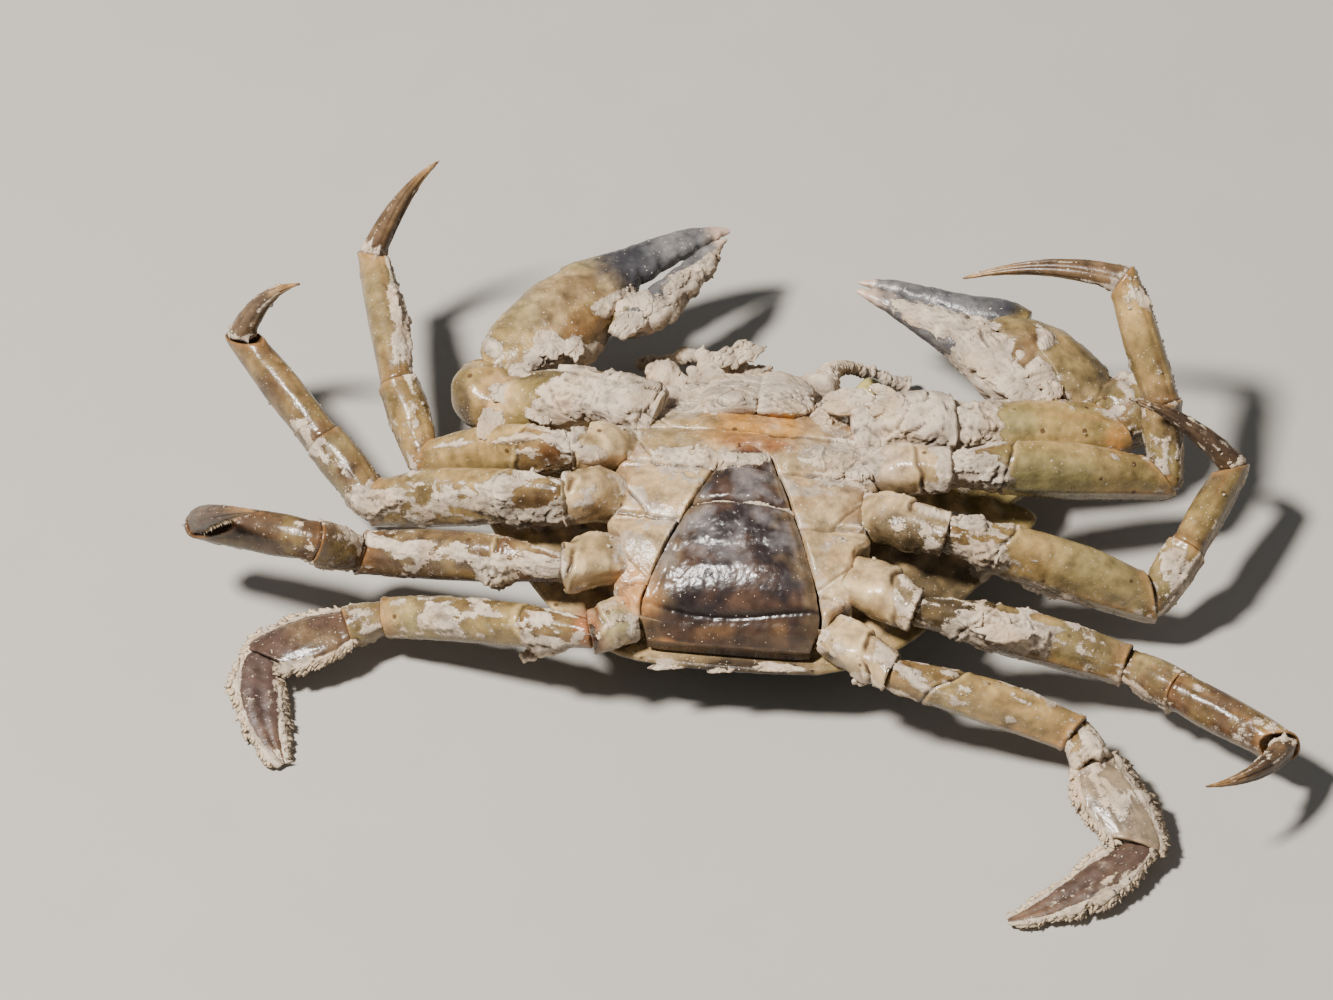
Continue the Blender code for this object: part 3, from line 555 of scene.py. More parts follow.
def grid_normals(grid):
    """Cross product of the grid's two slopes, turned outwards if it mostly points at the middle."""
    along = np.gradient(grid, axis=0)
    around = np.roll(grid, -1, axis=1) - np.roll(grid, 1, axis=1)
    normals = unit(np.cross(around, along))
    outward = grid - grid.mean(axis=1, keepdims=True)
    return normals if (normals * outward).sum() > 0 else -normals


def closed_grid(grid):
    """Quads between neighbouring rows and a fan at each end, all facing outwards: points and faces."""
    rows, sides = grid.shape[:2]
    points = np.concatenate([grid.reshape(-1, 3), grid[:1].mean(axis=1), grid[-1:].mean(axis=1)])
    ring = np.arange(sides)
    after = (ring + 1) % sides
    start = (np.arange(rows - 1) * sides)[:, None]
    quads = np.stack([start + ring, start + after, start + sides + after, start + sides + ring], -1)
    quads = quads.reshape(-1, 4)
    end = start[-1] + sides
    fans = np.concatenate([together(after, ring, rows * sides),
                           together(end + ring, end + after, rows * sides + 1)])
    a, b, c = (points[quads[:, :3]] - points.mean(axis=0)).transpose(1, 0, 2)
    turn = -1 if np.einsum("ij,ij->i", a, np.cross(b, c)).sum() < 0 else 1
    return points, [quads[:, ::turn], fans[:, ::turn]]


def make_piece(name, parts):
    """One object from closed parts, each its points and faces, moved to the frame's place and units."""
    faces, count = [], 0
    for points, groups in parts:
        faces += [face for group in groups for face in (group + count).tolist()]
        count += len(points)
    points = (np.concatenate([points for points, _ in parts]) - FOOTPRINT_CENTRE) * MM
    mesh = bpy.data.meshes.new(name)
    mesh.from_pydata(points.tolist(), [], faces)
    mesh.shade_smooth()
    piece = bpy.data.objects.new(name, mesh)
    bpy.context.scene.collection.objects.link(piece)
    return piece


def above_floor(points):
    """Points with every height raised to FLOOR_CLEAR at least."""
    return np.maximum(points, (-np.inf, -np.inf, FLOOR_CLEAR))


def keep_with_points(piece, grid_values, kind, name):
    """Stores one value or colour for each grid point, and the row's mean for the two fan points."""
    mesh = piece.data
    values = np.asarray(grid_values, float)
    ends = np.stack([values[0].mean(axis=0), values[-1].mean(axis=0)])
    flat = np.concatenate([values.reshape(-1, *values.shape[2:]), ends])
    if kind == "FLOAT_COLOR":
        flat = np.concatenate([np.clip(flat, 0, 1), np.ones((len(flat), 1))], axis=1)
        mesh.color_attributes.new(name, kind, "POINT").data.foreach_set("color", flat.ravel())
    else:
        mesh.attributes.new(name, kind, "POINT").data.foreach_set("value", flat)


def hollows(grid, normals, reach=3):
    """How far, in millimetres, the four points a few steps away stand above a point, on average."""
    rows = np.arange(len(grid))
    around = (np.roll(grid, reach, axis=1) + np.roll(grid, -reach, axis=1)
              + grid[np.minimum(rows + reach, rows[-1])] + grid[np.maximum(rows - reach, 0)]) / 4
    return ((around - grid) * normals).sum(axis=-1)


def dress(node, slot, grid, colour, relief=0.0, extra_mud=0.0):
    """One shell piece: relief and mud raised along the normals, attributes, material and frame calls."""
    normals = grid_normals(grid)
    field, cracks, from_middle = flaked(grid, mud_field(grid) + extra_mud)
    height, crack = mud_height(grid, field, cracks, from_middle)
    grid = above_floor(grid + normals * (relief + height)[..., None])
    piece = make_piece(node + "_skin", [closed_grid(grid)])
    SKIN[node] = grid, normals, field
    # painted shade in hollows and on the side facing down, with a little painted light on bumps
    shade = np.clip(1.0 - HOLLOW_SHADE * hollows(grid, normals), 0.35, 1.12)
    shade = shade * (UNDERSIDE_SHADE + (1 - UNDERSIDE_SHADE) * step(-0.6, 0.55, normals[..., 2]))
    keep_with_points(piece, field - 0.6 * crack, "FLOAT", "mud")
    keep_with_points(piece, shade, "FLOAT", "shade")
    keep_with_points(piece, paint_zones(grid, colour), "FLOAT_COLOR", "tint")
    piece.data.materials.append(SHELLS[slot])
    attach(piece, "root")
    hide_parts(node)


print("floor clearance:", FLOOR_CLEAR, "mm")

# %% [markdown]
# ## Materials
# One recipe serves every shell: the tint kept with each point, fine noise for its grain, small dark pores,
# pale grains of salt and sand, and over it the mud, which is dull and rough. The mud's edge is sharpened
# by noise that is finer than the mesh. Mud on its own, as flakes and crumbs, uses the same mud colours.

# %% Node helpers
BUMP_STRENGTH = 0.8
BROKEN_BY_MM = 0.16


def add_node(tree, kind, values=(), **settings):
    """A node with its settings, and its input sockets filled by number or joined to another socket."""
    node = tree.nodes.new("ShaderNode" + kind)
    for key, value in settings.items():
        setattr(node, key, value)
    for key, value in dict(values).items():
        if isinstance(value, bpy.types.NodeSocket):
            tree.links.new(value, node.inputs[key])
        else:
            node.inputs[key].default_value = value
    return node


def number(tree, operation, *values):
    """A Math node's result."""
    return add_node(tree, "Math", enumerate(values), operation=operation).outputs[0]


def times(tree, *values):
    """The product of two values."""
    return number(tree, "MULTIPLY", *values)


def blend_colour(tree, share, first, second):
    """A Mix node's colour: the first at share 0, the second at share 1."""
    return add_node(tree, "Mix", ((0, share), (6, first), (7, second)), data_type="RGBA").outputs[2]


def ramp(tree, value, low, high):
    """A Map Range node that rises smoothly from 0 at low to 1 at high."""
    ends = ((0, value), (1, low), (2, high))
    return add_node(tree, "MapRange", ends, interpolation_type="SMOOTHSTEP").outputs[0]


def noise_node(tree, place, size_mm, detail=3.0):
    """A Noise Texture whose lumps are size_mm across."""
    values = {"Vector": place, "Scale": 1 / (size_mm * MM), "Detail": detail}
    return add_node(tree, "TexNoise", values).outputs["Fac"]


def kept_value(tree, name, output="Fac"):
    """What the mesh keeps with its points under that name."""
    return add_node(tree, "Attribute", attribute_name=name).outputs[output]


def scaled(tree, colour, factor):
    """A colour times a number."""
    return add_node(tree, "VectorMath", {0: colour, "Scale": factor}, operation="SCALE").outputs[0]


def broken_up(tree, value, pattern, amount):
    """value + (pattern - 0.5) amount, so that an edge of the value follows the pattern."""
    centred = number(tree, "SUBTRACT", pattern, 0.5)
    return number(tree, "ADD", value, times(tree, centred, amount))


def raise_bump(tree, shader, height, distance_mm):
    """Lets the height tilt the light on the surface, as relief that is finer than the mesh."""
    values = {"Height": height, "Strength": BUMP_STRENGTH, "Distance": distance_mm * MM}
    tree.links.new(add_node(tree, "Bump", values).outputs[0], shader.inputs["Normal"])


def speck_node(tree, place, cell_mm, radius, share):
    """1 inside small round specks: nearer than radius to a cell's point, in that share of the cells."""
    cell = add_node(tree, "TexVoronoi", {"Vector": place, "Scale": 1 / (cell_mm * MM)})
    chosen = add_node(tree, "SeparateColor", {0: cell.outputs["Color"]}).outputs[0]
    inside = ramp(tree, cell.outputs["Distance"], radius, radius * 0.6)
    return times(tree, inside, number(tree, "LESS_THAN", chosen, share))


print("mud is broken up by noise of", BROKEN_BY_MM, "mm")

# %% The mud's colour and the two kinds of material
MUD_WARM = srgb(206, 176, 138)
MUD_HOLLOW = srgb(158, 138, 116)
PORE = srgb(78, 54, 34)
SAND_GRAIN = srgb(226, 210, 188)
FILM_SHARE = 0.22
MUD_ROUGHNESS = 0.92


def rgba(colour):
    """Red, green and blue with full cover, as a node's socket takes them."""
    return (*np.clip(colour, 0, 1).tolist(), 1.0)


def mud_colour(tree, place):
    """Pale and grey mud in soft patches, darkened a little in its small hollows."""
    patches = ramp(tree, noise_node(tree, place, 1.8, 5.0), 0.36, 0.66)
    warm = ramp(tree, noise_node(tree, place, 4.0, 3.0), 0.45, 0.7)
    grain = ramp(tree, noise_node(tree, place, 0.35, 4.0), 0.22, 0.46)
    base = blend_colour(tree, patches, rgba(MUD_PALE), rgba(MUD_GREY))
    base = blend_colour(tree, times(tree, warm, 0.5), base, rgba(MUD_WARM))
    return blend_colour(tree, grain, rgba(MUD_HOLLOW), base)


def new_material(name):
    """An empty material with its node tree, the place on the object and the surface shader."""
    material = bpy.data.materials.new(name)
    material.use_nodes = True
    tree = material.node_tree
    place = add_node(tree, "TexCoord").outputs["Object"]
    return material, tree, place, tree.nodes["Principled BSDF"]


def shell_material(name, roughness, dots=0.0, specks=0.2, grain=0.35, grain_mm=0.25):
    """Tinted shell under mud; dots are brown pores, specks are pale grains, grain is the bump's strength."""
    material, tree, place, shader = new_material(name)
    tint, mud, shade = kept_value(tree, "tint", "Color"), kept_value(tree, "mud"), kept_value(tree, "shade")
    fine = noise_node(tree, place, BROKEN_BY_MM, 4.0)
    middle = noise_node(tree, place, 0.6, 4.0)
    crust = ramp(tree, broken_up(tree, mud, fine, 0.70), 0.0, 0.05)
    dusted = ramp(tree, broken_up(tree, mud, middle, 1.5), -0.20, 0.30)
    share = number(tree, "MAXIMUM", crust, times(tree, dusted, FILM_SHARE))
    drift = number(tree, "MULTIPLY_ADD", noise_node(tree, place, 1.1, 6.0), 1.9, 0.02)
    pores = times(tree, speck_node(tree, place, 1.9, 0.15, dots), 0.85)
    shell = blend_colour(tree, pores, scaled(tree, tint, drift), rgba(PORE))
    flecks = ramp(tree, noise_node(tree, place, 0.22, 2.0), 0.735 - 0.25 * specks, 0.755 - 0.25 * specks)
    shell = blend_colour(tree, times(tree, flecks, 0.8), shell, rgba(SAND_GRAIN))
    coloured = blend_colour(tree, share, shell, mud_colour(tree, place))
    # the colour is multiplied by the painted shade kept with the points
    tree.links.new(scaled(tree, coloured, shade), shader.inputs["Base Color"])
    worn = number(tree, "MULTIPLY_ADD", middle, 0.30, roughness - 0.15)
    dull = add_node(tree, "Mix", {0: share, 2: worn, 3: MUD_ROUGHNESS})
    tree.links.new(dull.outputs[0], shader.inputs["Roughness"])
    skin = times(tree, noise_node(tree, place, grain_mm, 3.0), grain)
    crumbs = times(tree, noise_node(tree, place, 0.22, 6.0), times(tree, crust, 1.6))
    height = number(tree, "ADD", number(tree, "ADD", skin, crumbs), times(tree, crust, 0.7))
    raise_bump(tree, shader, height, 0.06)
    return material


def dry_material(name, colour=None):
    """Mud or dried fibre: dull, with a crumbly bump. A colour, where given, is half mixed with the mud's."""
    material, tree, place, shader = new_material(name)
    base = mud_colour(tree, place)
    if colour is not None:
        base = blend_colour(tree, ramp(tree, noise_node(tree, place, 0.5), 0.35, 0.65), rgba(colour), base)
    tree.links.new(base, shader.inputs["Base Color"])
    shader.inputs["Roughness"].default_value = MUD_ROUGHNESS
    shader.inputs["Specular IOR Level"].default_value = 0.25
    raise_bump(tree, shader, noise_node(tree, place, 0.26, 5.0), 0.07)
    return material


SHELLS = {
    "limb_shell": shell_material("limb shell", 0.26, dots=0.55, specks=0.19, grain=0.5),
    "breast_shell": shell_material("breast shell", 0.27, dots=0.04, specks=0.22, grain=1.0),
    "tail_shell": shell_material("tail shell", 0.28, specks=0.07, grain=0.7, grain_mm=0.35),
    "claw_shell": shell_material("claw shell", 0.30, dots=0.12, specks=0.16, grain=0.8, grain_mm=0.2),
    "claw_tip": shell_material("dark tips", 0.40, specks=0.16, grain=0.6),
    "back_shell": shell_material("back shell", 0.45, dots=0.30, specks=0.20, grain=1.1, grain_mm=0.35),
    "eye": shell_material("eye", 0.16, specks=0.0, grain=0.1),
}
MUD = dry_material("dried mud")
FRINGE = dry_material("mud-laden hair", srgb(216, 192, 158))
print("materials:", len(bpy.data.materials))

# %% [markdown]
# ## Tubes of shell
# Every limb piece is a section carried along a path. The section is a superellipse, and its end planes
# halve the angle between two neighbours, as mitred pipes do. The near end is domed and the far end is
# dished by the same amount, so that each piece sits in the socket of the one before. A curve with a bevel
# gives a tube too, but only a grid lets the ends be cut aslant and the relief be laid on by formula.

# %% Swept grids
SURFACE_STEP = 0.13
SOCKET_DEPTH = 0.45
SOCKET_RINGS = 9
GIRTH_SHARE = 0.85


def section(sides, fullness):
    """Superellipse: cosine and sine of the angle raised to 2 / fullness, signs kept."""
    angle = ring_angles(sides)
    return [np.sign(wave) * np.abs(wave) ** (2.0 / fullness) for wave in (np.cos(angle), np.sin(angle))]


def swept(centres, half_across, half_up, across_hint, fullness, sides, cuts=(None, None)):
    """Sections along the centres; points slide along the path onto the end planes' normals in cuts."""
    ahead = unit(np.gradient(centres, axis=0))
    hint = np.broadcast_to(np.asarray(across_hint, float), centres.shape)
    across = unit(hint - ahead * (hint * ahead).sum(axis=1, keepdims=True))
    upward = np.cross(ahead, across)
    cosine, sine = section(sides, fullness)
    offset = (across[:, None] * (half_across[:, None] * cosine)[..., None]
              + upward[:, None] * (half_up[:, None] * sine)[..., None])
    slide = np.zeros(offset.shape[:2])
    share = np.linspace(0, 1, len(centres))
    for normal, ahead_there, weight in ((cuts[0], ahead[0], 1 - share), (cuts[1], ahead[-1], share)):
        if normal is not None:
            slide -= weight[:, None] * (offset @ normal) / (ahead_there @ normal)
    return centres[:, None] + offset + ahead[:, None] * slide[..., None]


def with_sockets(rings, ahead_first, ahead_last, near, far):
    """Adds shrinking rings at the ends, pushed back by depth sqrt(1 - r^2), r from the rim to the middle."""
    shares = np.sin(np.linspace(0, np.pi / 2, SOCKET_RINGS, endpoint=False))[:, None, None]
    parts, caps = [rings], [np.zeros(len(rings))]
    for wanted, ring, ahead, first in ((near, rings[0], ahead_first, True),
                                       (far, rings[-1], ahead_last, False)):
        if wanted:
            middle = ring.mean(axis=0)
            radius = np.linalg.norm(ring - middle, axis=1).mean()
            depth = SOCKET_DEPTH * radius * np.sqrt(1 - shares ** 2)
            cap = middle + (ring - middle) * np.maximum(shares, 0.04) - ahead * depth
            inner = 1 - shares[:, 0, 0]
            parts, caps = (([cap, *parts], [inner, *caps]) if first
                           else ([*parts, cap[::-1]], [*caps, inner[::-1]]))
    return np.concatenate(parts), np.concatenate(caps)


def round_knee(rings, joint, ahead):
    """Past the joint, a point is drawn back until it is as near to it as to the limb's own line."""
    away = rings - joint
    along = away @ ahead
    across = np.linalg.norm(away - along[..., None] * ahead, axis=-1)
    return joint + away * (across / np.hypot(across, np.maximum(along, 0)))[..., None]


def limb_grid(start, end, cuts, half_across, half_up, hint, bend=(0, 0, 0), fullness=2.3, near=True,
              far=True, near_gap=GAP / 2, droop=0.0):
    """One limb piece's fine grid, the share along it, the angle round it, how deep in a socket, length."""
    start, end = np.asarray(start, float), np.asarray(end, float)
    length = np.linalg.norm(end - start)
    ahead = (end - start) / length
    first = start + ahead * near_gap / (ahead @ cuts[0])
    last = end if cuts[1] is None else end - ahead * GAP / 2 / (ahead @ cuts[1])
    stations = int(length / SURFACE_STEP) + 8
    sides = int(2 * np.pi * max(np.max(half_across), np.max(half_up)) * GIRTH_SHARE / SURFACE_STEP)
    share = np.linspace(0, 1, stations)
    t = share[:, None]
    centres = first + (last - first) * t + np.asarray(bend) * 4 * t * (1 - t)
    centres[:, 2] -= droop * step(0.6, 0.0, share)
    knots = np.linspace(0, 1, len(half_across))
    rings = swept(centres, smooth(share, knots, half_across), smooth(share, knots, half_up), hint, fullness,
                  sides, cuts)
    rings = round_knee(rings, end, ahead) if far else rings
    rings = round_knee(rings, start, -ahead) if near else rings
    rings, deep = with_sockets(rings, cuts[0], cuts[1] if cuts[1] is not None else ahead, near, far)
    share = np.concatenate([np.zeros(SOCKET_RINGS * near), share, np.ones(SOCKET_RINGS * far)])
    return rings, share[:, None], ring_angles(sides)[None, :], deep[:, None], length


def dress_tube(node, slot, grid, deep, colour, relief, mud):
    """A limb piece: in its sockets the relief fades out and the colour turns to brown membrane."""
    dress(node, slot, grid, mix(colour, DARK_BROWN, 0.8 * step(0.05, 0.5, deep)),
          relief * step(1.1, 0.7, deep), mud)


def rim(share, length, width=0.5, height=0.10):
    """A raised lip at a piece's far end: height times a bell of the distance from that end."""
    return height * bump((1 - share) * length, 0.0, width)


print("surface step:", SURFACE_STEP, "mm")

# %% [markdown]
# ## Legs
# A walking leg is a hip boss, a long merus with the short ischium fused to its root, a carpus, a propodus
# and a pointed dactyl. The ischium's seam runs aslant; the dactyl has long grooves in which mud dried
# white; the last leg's two end pieces are flat paddles. The eight legs could be modelled one by one; one
# function with a table of joints and sizes makes them all, so a change of form reaches every leg at once.

# %% Where a hip leaves the breast
def breast_half_width(y):
    """Half width of the breastplate at y, a smooth curve through eight measures."""
    return smooth(y, (-14.0, -12.0, -7.3, -1.2, 3.7, 8.6, 12.0, 16.2),
                  (7.6, 8.2, 9.6, 10.0, 9.7, 8.6, 7.6, 5.8))


def hip_start(limb, side):
    """The breastplate's wall at the hip, pushed out by its bulge over the hip's own width."""
    y, z = HIP_SEAT[limb]
    slope = float(breast_half_width(y + 0.1) - breast_half_width(y - 0.1)) / 0.2
    reach = np.linspace(-1, 1, 9) * HIP_HALF_SIZE[limb][0]
    wall = side * ((breast_half_width(y + reach) - slope * reach).max() + GAP / 2)
    return to_world((wall, y, z)), to_world(unit(np.array([side, -slope, 0.0]))) - BODY_OFFSET


def limb_pieces(limb, side, joints):
    """Start, end and end planes of each piece; a plane's normal is the mean of the two directions there."""
    start, outward = hip_start(limb, side)
    joints = np.array([start, *joints])
    ahead = unit(np.diff(joints, axis=0))
    cuts = [outward, *unit(ahead[1:] + ahead[:-1]), None]
    return [(joints[n], joints[n + 1], cuts[n:n + 2]) for n in range(len(ahead))]


print("breastplate at its widest:", 2 * breast_half_width(HIP_SEAT[3][0]).round(1), "mm")

# %% Streaks that follow a limb
STREAK_SQUEEZE = 0.32


def streaks(share, angle, length, radius, seed):
    """Noise read on a cylinder that is squeezed lengthways, so that its patches run along the limb."""
    points = together(share * length * STREAK_SQUEEZE, radius * np.cos(angle), radius * np.sin(angle))
    return rough(points + seed, 0.75, 4, seed)


print("streaks are stretched", round(1 / STREAK_SQUEEZE, 1), "times")

# %% Hip, and the merus with its slanting seam
HIP_SINK = -0.6
HIP_ACROSS = {1: (0.90, 1.0, 1.02, 0.95, 0.86), -1: (0.90, 0.98, 1.0, 0.98, 0.92)}
HIP_UP = {1: (0.70, 0.90, 1.0, 0.94, 0.84), -1: (0.72, 0.90, 1.0, 0.98, 0.92)}
HIP_DROOP = 0.75
HIP_LIP_AT = {1: 0.66, -1: 0.90}
HIP_EDGES = (0.7, 2.4)
HIP_TAN = srgb(160, 134, 94)
HIP_PALE = srgb(216, 190, 144)
ISCHIUM_END = 0.27
SEAM_PALE = srgb(206, 176, 120)


def dress_hip(node, start, end, cuts, wide, tall, side, mud_too=0.0):
    """A box that grows out of the breastplate, keeled, with a thin pale lip and a dark fold behind it."""
    grid, share, angle, deep, length = limb_grid(start, end, cuts, np.array(HIP_ACROSS[side]) * wide,
                                                 np.array(HIP_UP[side]) * tall, (0, 1, 0), fullness=2.5,
                                                 near=False, near_gap=HIP_SINK, droop=HIP_DROOP)
    facing = side * angle
    past = (share - HIP_LIP_AT[side]) * length + 0.7 * np.cos(facing - 1.2) + 0.6 * rough(grid, 2.2, 2, 15)
    uneven = step(-0.35, 0.35, noise(grid, 1.7, 10))
    lip = bump(past, 0.0, 0.20) * uneven
    fold = bump(past, 0.42, 0.20) * uneven
    keel = sum(np.maximum(np.cos(facing - edge), 0) ** 12 for edge in HIP_EDGES)
    keel = keel * step(0.3, -0.3, past) * uneven
    relief = (0.12 * bump(past, -1.5, 1.2) + 0.10 * lip - 0.20 * fold + 0.22 * keel
              + 0.16 * rough(grid, 2.4, 2, 17) + 0.02 * noise(grid, 0.5, 12)
              - 0.10 * np.cos(2 * facing) * step(0.5, 0.0, share))
    colour = washed(
        PINK_TAN, (HIP_TAN, step(-0.4, 0.5, rough(grid, 2.2, 3, 18))),
        (HIP_PALE, 0.65 * np.clip(keel + lip + 0.4 * rough(grid, 1.6, 2, 19), 0, 1)),
        # painted shade: brown on the hip's downward side
        (BROWN, 0.70 * step(-0.1, 0.8, -np.sin(facing) + 0.5 * rough(grid, 1.5, 2, 11))),
        (BROWN, 0.8 * fold))
    mud = (0.50 * bump(share * length, 0.0, 0.9) + 0.30 * streaks(share, angle, length, wide, 16)
           + 0.30 * step(0.3, 0.9, past) - 0.3 * fold + mud_too)
    dress_tube(node, "limb_shell", grid, deep, colour, relief, mud)


def dress_merus(node, start, end, cuts, wide, high, profile, dark):
    """Ischium and merus in one, with a slanting seam, a keel on the edge and a raised distal lip."""
    profile = np.array(profile)
    grid, share, angle, deep, length = limb_grid(start, end, cuts, high * profile, wide * profile, (0, 0, 1),
                                                 bend=(0, 0, 0.5))
    wavering = (0.5 * noise(grid, 1.8, 30) + 0.12 * noise(grid, 0.5, 31)) / length
    seam = ISCHIUM_END + 0.065 * np.cos(angle + 0.9) + wavering
    away = (share - seam) * length
    root = step(0.02, -0.02, share - seam)
    keel = bump(wrapped(angle - 1.75), 0.0, 0.16)
    relief = (-0.20 * bump(away, 0.0, 0.12) + 0.07 * bump(away, 0.30, 0.25)
              + 0.10 * bump(away, -0.5, 0.3) - 0.05 * root + rim(share, length, 0.4, 0.12)
              + 0.08 * rough(grid, 4.5, 2, 19) + 0.10 * keel * (1 - root) + 0.012 * rough(grid, 0.5, 2, 20)
              + 0.025 * streaks(share * 0.5, angle, length, high, 26))
    colour = washed(
        limb_colour(grid, share, dark),
        (BROWN, 0.65 * root * np.clip(0.7 + 0.5 * rough(grid, 1.2, 3, 21), 0, 1)),
        (DARK_BROWN, 0.6 * bump(away, 0.0, 0.10)), (SEAM_PALE, 0.45 * step(0.5, 0.1, np.abs(away - 0.35))),
        # painted shade: the last brown here is on the merus's downward side
        (ORANGE, 0.40 * keel * step(0.3, 0.8, share)), (BROWN, 0.55 * step(0.2, 0.9, -np.cos(angle))))
    mud = 0.45 * streaks(share, angle, length, high, 22) + 0.25 * bump(away, 0.1, 0.25) + 0.25 * root
    dress_tube(node, "limb_shell", grid, deep, colour, relief, mud)


print("ischium's share:", ISCHIUM_END)

# %% The three outer pieces of a leg
LEG_DARKNESS = {("leg2", "left"): 0.05, ("leg2", "right"): 0.15, ("leg3", "left"): 0.15,
                ("leg3", "right"): 0.40, ("leg4", "left"): 0.45, ("leg4", "right"): 0.75,
                ("leg5", "left"): 0.40, ("leg5", "right"): 0.50}
DARKER_BY = {"carpus": 0.15, "propodus": 0.28, "arm": 0.0, "wrist": 0.25, "dactyl": 0.0}
MUD_BY = {"propodus": -0.14, "dactyl": 0.0}
DACTYL_RIDGES = {True: 4, False: 7}
DACTYL_BROWN = srgb(112, 88, 62)
DACTYL_TAN = srgb(176, 134, 84)
DACTYL_BOW = -0.9


def dress_outer(node, slot, start, end, cuts, across, up, profile, hint, kind, flat=False,
                bend=(0, 0, 0), extra_mud=0.0, fullness=2.3, dark=0.0):
    """Carpus, propodus or dactyl: ridges as cos(n angle), a lip at the far end, mud in the grooves."""
    across, up = across * np.array(profile), up * np.array(profile)
    grid, share, angle, deep, length = limb_grid(start, end, cuts, across, up, hint, bend, fullness,
                                                 far=cuts[1] is not None)
    streaky = streaks(share, angle, length, max(np.max(across), np.max(up)), 24)
    if kind == "dactyl":
        ridges = 0.5 + 0.5 * np.cos(DACTYL_RIDGES[flat] * angle)
        groove = ridges ** 5 * (1 - step(0.85, 1.0, share))
        fade = np.sin(np.pi * np.clip(share, 0.03, 0.97)) ** 0.5
        relief = -0.14 * groove * fade + 0.03 * rough(grid, 0.8, 2, 23)
        colour = washed(
            DACTYL_BROWN, (DARK_BROWN, np.clip(0.30 + 0.5 * rough(grid, 1.6, 3, 29), 0, 1)),
            (DACTYL_TAN, 0.8 * step(0.55, 0.9, share)), (DARK_BROWN, 0.8 * step(0.93, 1.0, share)))
        mud = (extra_mud + 0.85 * groove * np.clip(0.35 + 1.1 * noise(grid, 0.9, 37), -0.3, 1) - 0.12
               + 0.5 * step(0.10, 0.0, share))
    else:
        ridges = np.maximum(np.cos(angle), 0) ** 8
        furrow = bump(np.sin(angle), 0.2, 0.14)
        relief = (0.12 * ridges * np.sin(np.pi * share) + rim(share, length) - 0.07 * furrow
                  + 0.05 * rough(grid, 3.5, 2, 27) + 0.10 * bump(share * length, 0.0, 0.35)
                  + 0.012 * rough(grid, 0.45, 2, 28) + 0.03 * streaky)
        colour = washed(
            limb_colour(grid, share, dark + DARKER_BY[kind]), (BROWN, 0.55 * bump(share, 0.0, 0.10)),
            # painted shade: brown along one lower side of the piece, broken up by the streaks
            (BROWN, 0.50 * step(0.1, 0.9, np.sin(angle - 0.5)) * (0.6 + 0.4 * streaky)),
            (ORANGE, 0.35 * furrow * step(-0.2, 0.5, streaky)))
        mud = extra_mud + 0.22 * step(0.3, 0.9, -np.cos(angle)) + 0.40 * streaky
        if kind == "wrist":
            relief = relief + 0.15 * rough(grid, 2.0, 2, 33)
    if flat:
        dusted = "left" in node
        colour = mix(colour, GREY_TAN if dusted and kind == "propodus" else PURPLE_BROWN, 0.62)
        mud = extra_mud - (0.05 if dusted else 0.25) + 0.35 * streaky + 1.25 * np.abs(np.cos(angle)) ** 14
    dress_tube(node, slot, grid, deep, colour, relief, mud)


def dress_leg(limb, side_name, side):
    """Hip, merus, carpus, propodus and dactyl between the leg's joints, each cut to fit the one before."""
    leg = f"leg{limb}"
    name = f"{leg}_{side_name}_"
    pieces = limb_pieces(limb, side, LEG_JOINTS[(leg, side_name)])
    sizes = dict(zip(LEG_KINDS, LEG_SIZES[leg]))
    dark = LEG_DARKNESS[(leg, side_name)]
    flat = limb == 5
    dress_hip(name + "hip", *pieces[0], *HIP_HALF_SIZE[limb], side)
    dress_merus(name + "merus", *pieces[1], *sizes["merus"], MERUS_PROFILE[leg], dark)
    wide, high = sizes["carpus"]
    dress_outer(name + "carpus", "limb_shell", *pieces[2], high, wide, CARPUS_PROFILE, (0, 0, 1), "carpus",
                extra_mud=0.1, dark=dark)
    for kind, slot, piece, profile in (
            ("propodus", "limb_shell", pieces[3], PADDLE_PROFILE if flat else PROPODUS_PROFILE),
            ("dactyl", "claw_tip", pieces[4], PADDLE_TIP_PROFILE if flat else DACTYL_PROFILE)):
        wide, high = sizes[kind]
        span = piece[1] - piece[0]
        hint = np.cross(span, (0, 0, 1)) if flat else (0, 0, 1)
        across, up = (wide, high) if flat else (high, wide)
        bow = np.zeros(3)
        if kind == "dactyl":
            bow = DACTYL_BOW * unit(np.cross(np.cross(pieces[3][1] - pieces[3][0], span), span))
        dress_outer(name + kind, slot, *piece, across, up, profile, hint, kind, flat, bow, MUD_BY[kind],
                    dark=dark)


for side_name, side in SIDES:
    for limb in (2, 3, 4, 5):
        dress_leg(limb, side_name, side)
print("legs dressed:", len(LEG_JOINTS))

# %% [markdown]
# ## Claws
# The arm and wrist are tubes like the legs. The palm runs on into the fixed finger, and the other finger
# closes against it. Fingers are slate, grained, with blunt teeth on the biting edge and pale pink tips.
# A claw is often sculpted from a block; here its two sizes are read off at ten places along a path, so
# that the palm swells and tapers just as the solid does, and the teeth are waves along the same path.

# %% Claw limbs
CLAW_SAND = srgb(200, 172, 128)
CLAW_BROWN = srgb(112, 88, 58)
SLATE_DARK = srgb(44, 43, 50)
SLATE_PALE = srgb(132, 126, 122)
CLAW_GIRTH_SHARE = 0.8
PALM_SLATE = (0.46, 0.56)
FINGER_SLATE = (0.05, 0.2)
ARM_SIZE = (2.4, 2.5)
WRIST_SIZE = (2.3, 2.4)


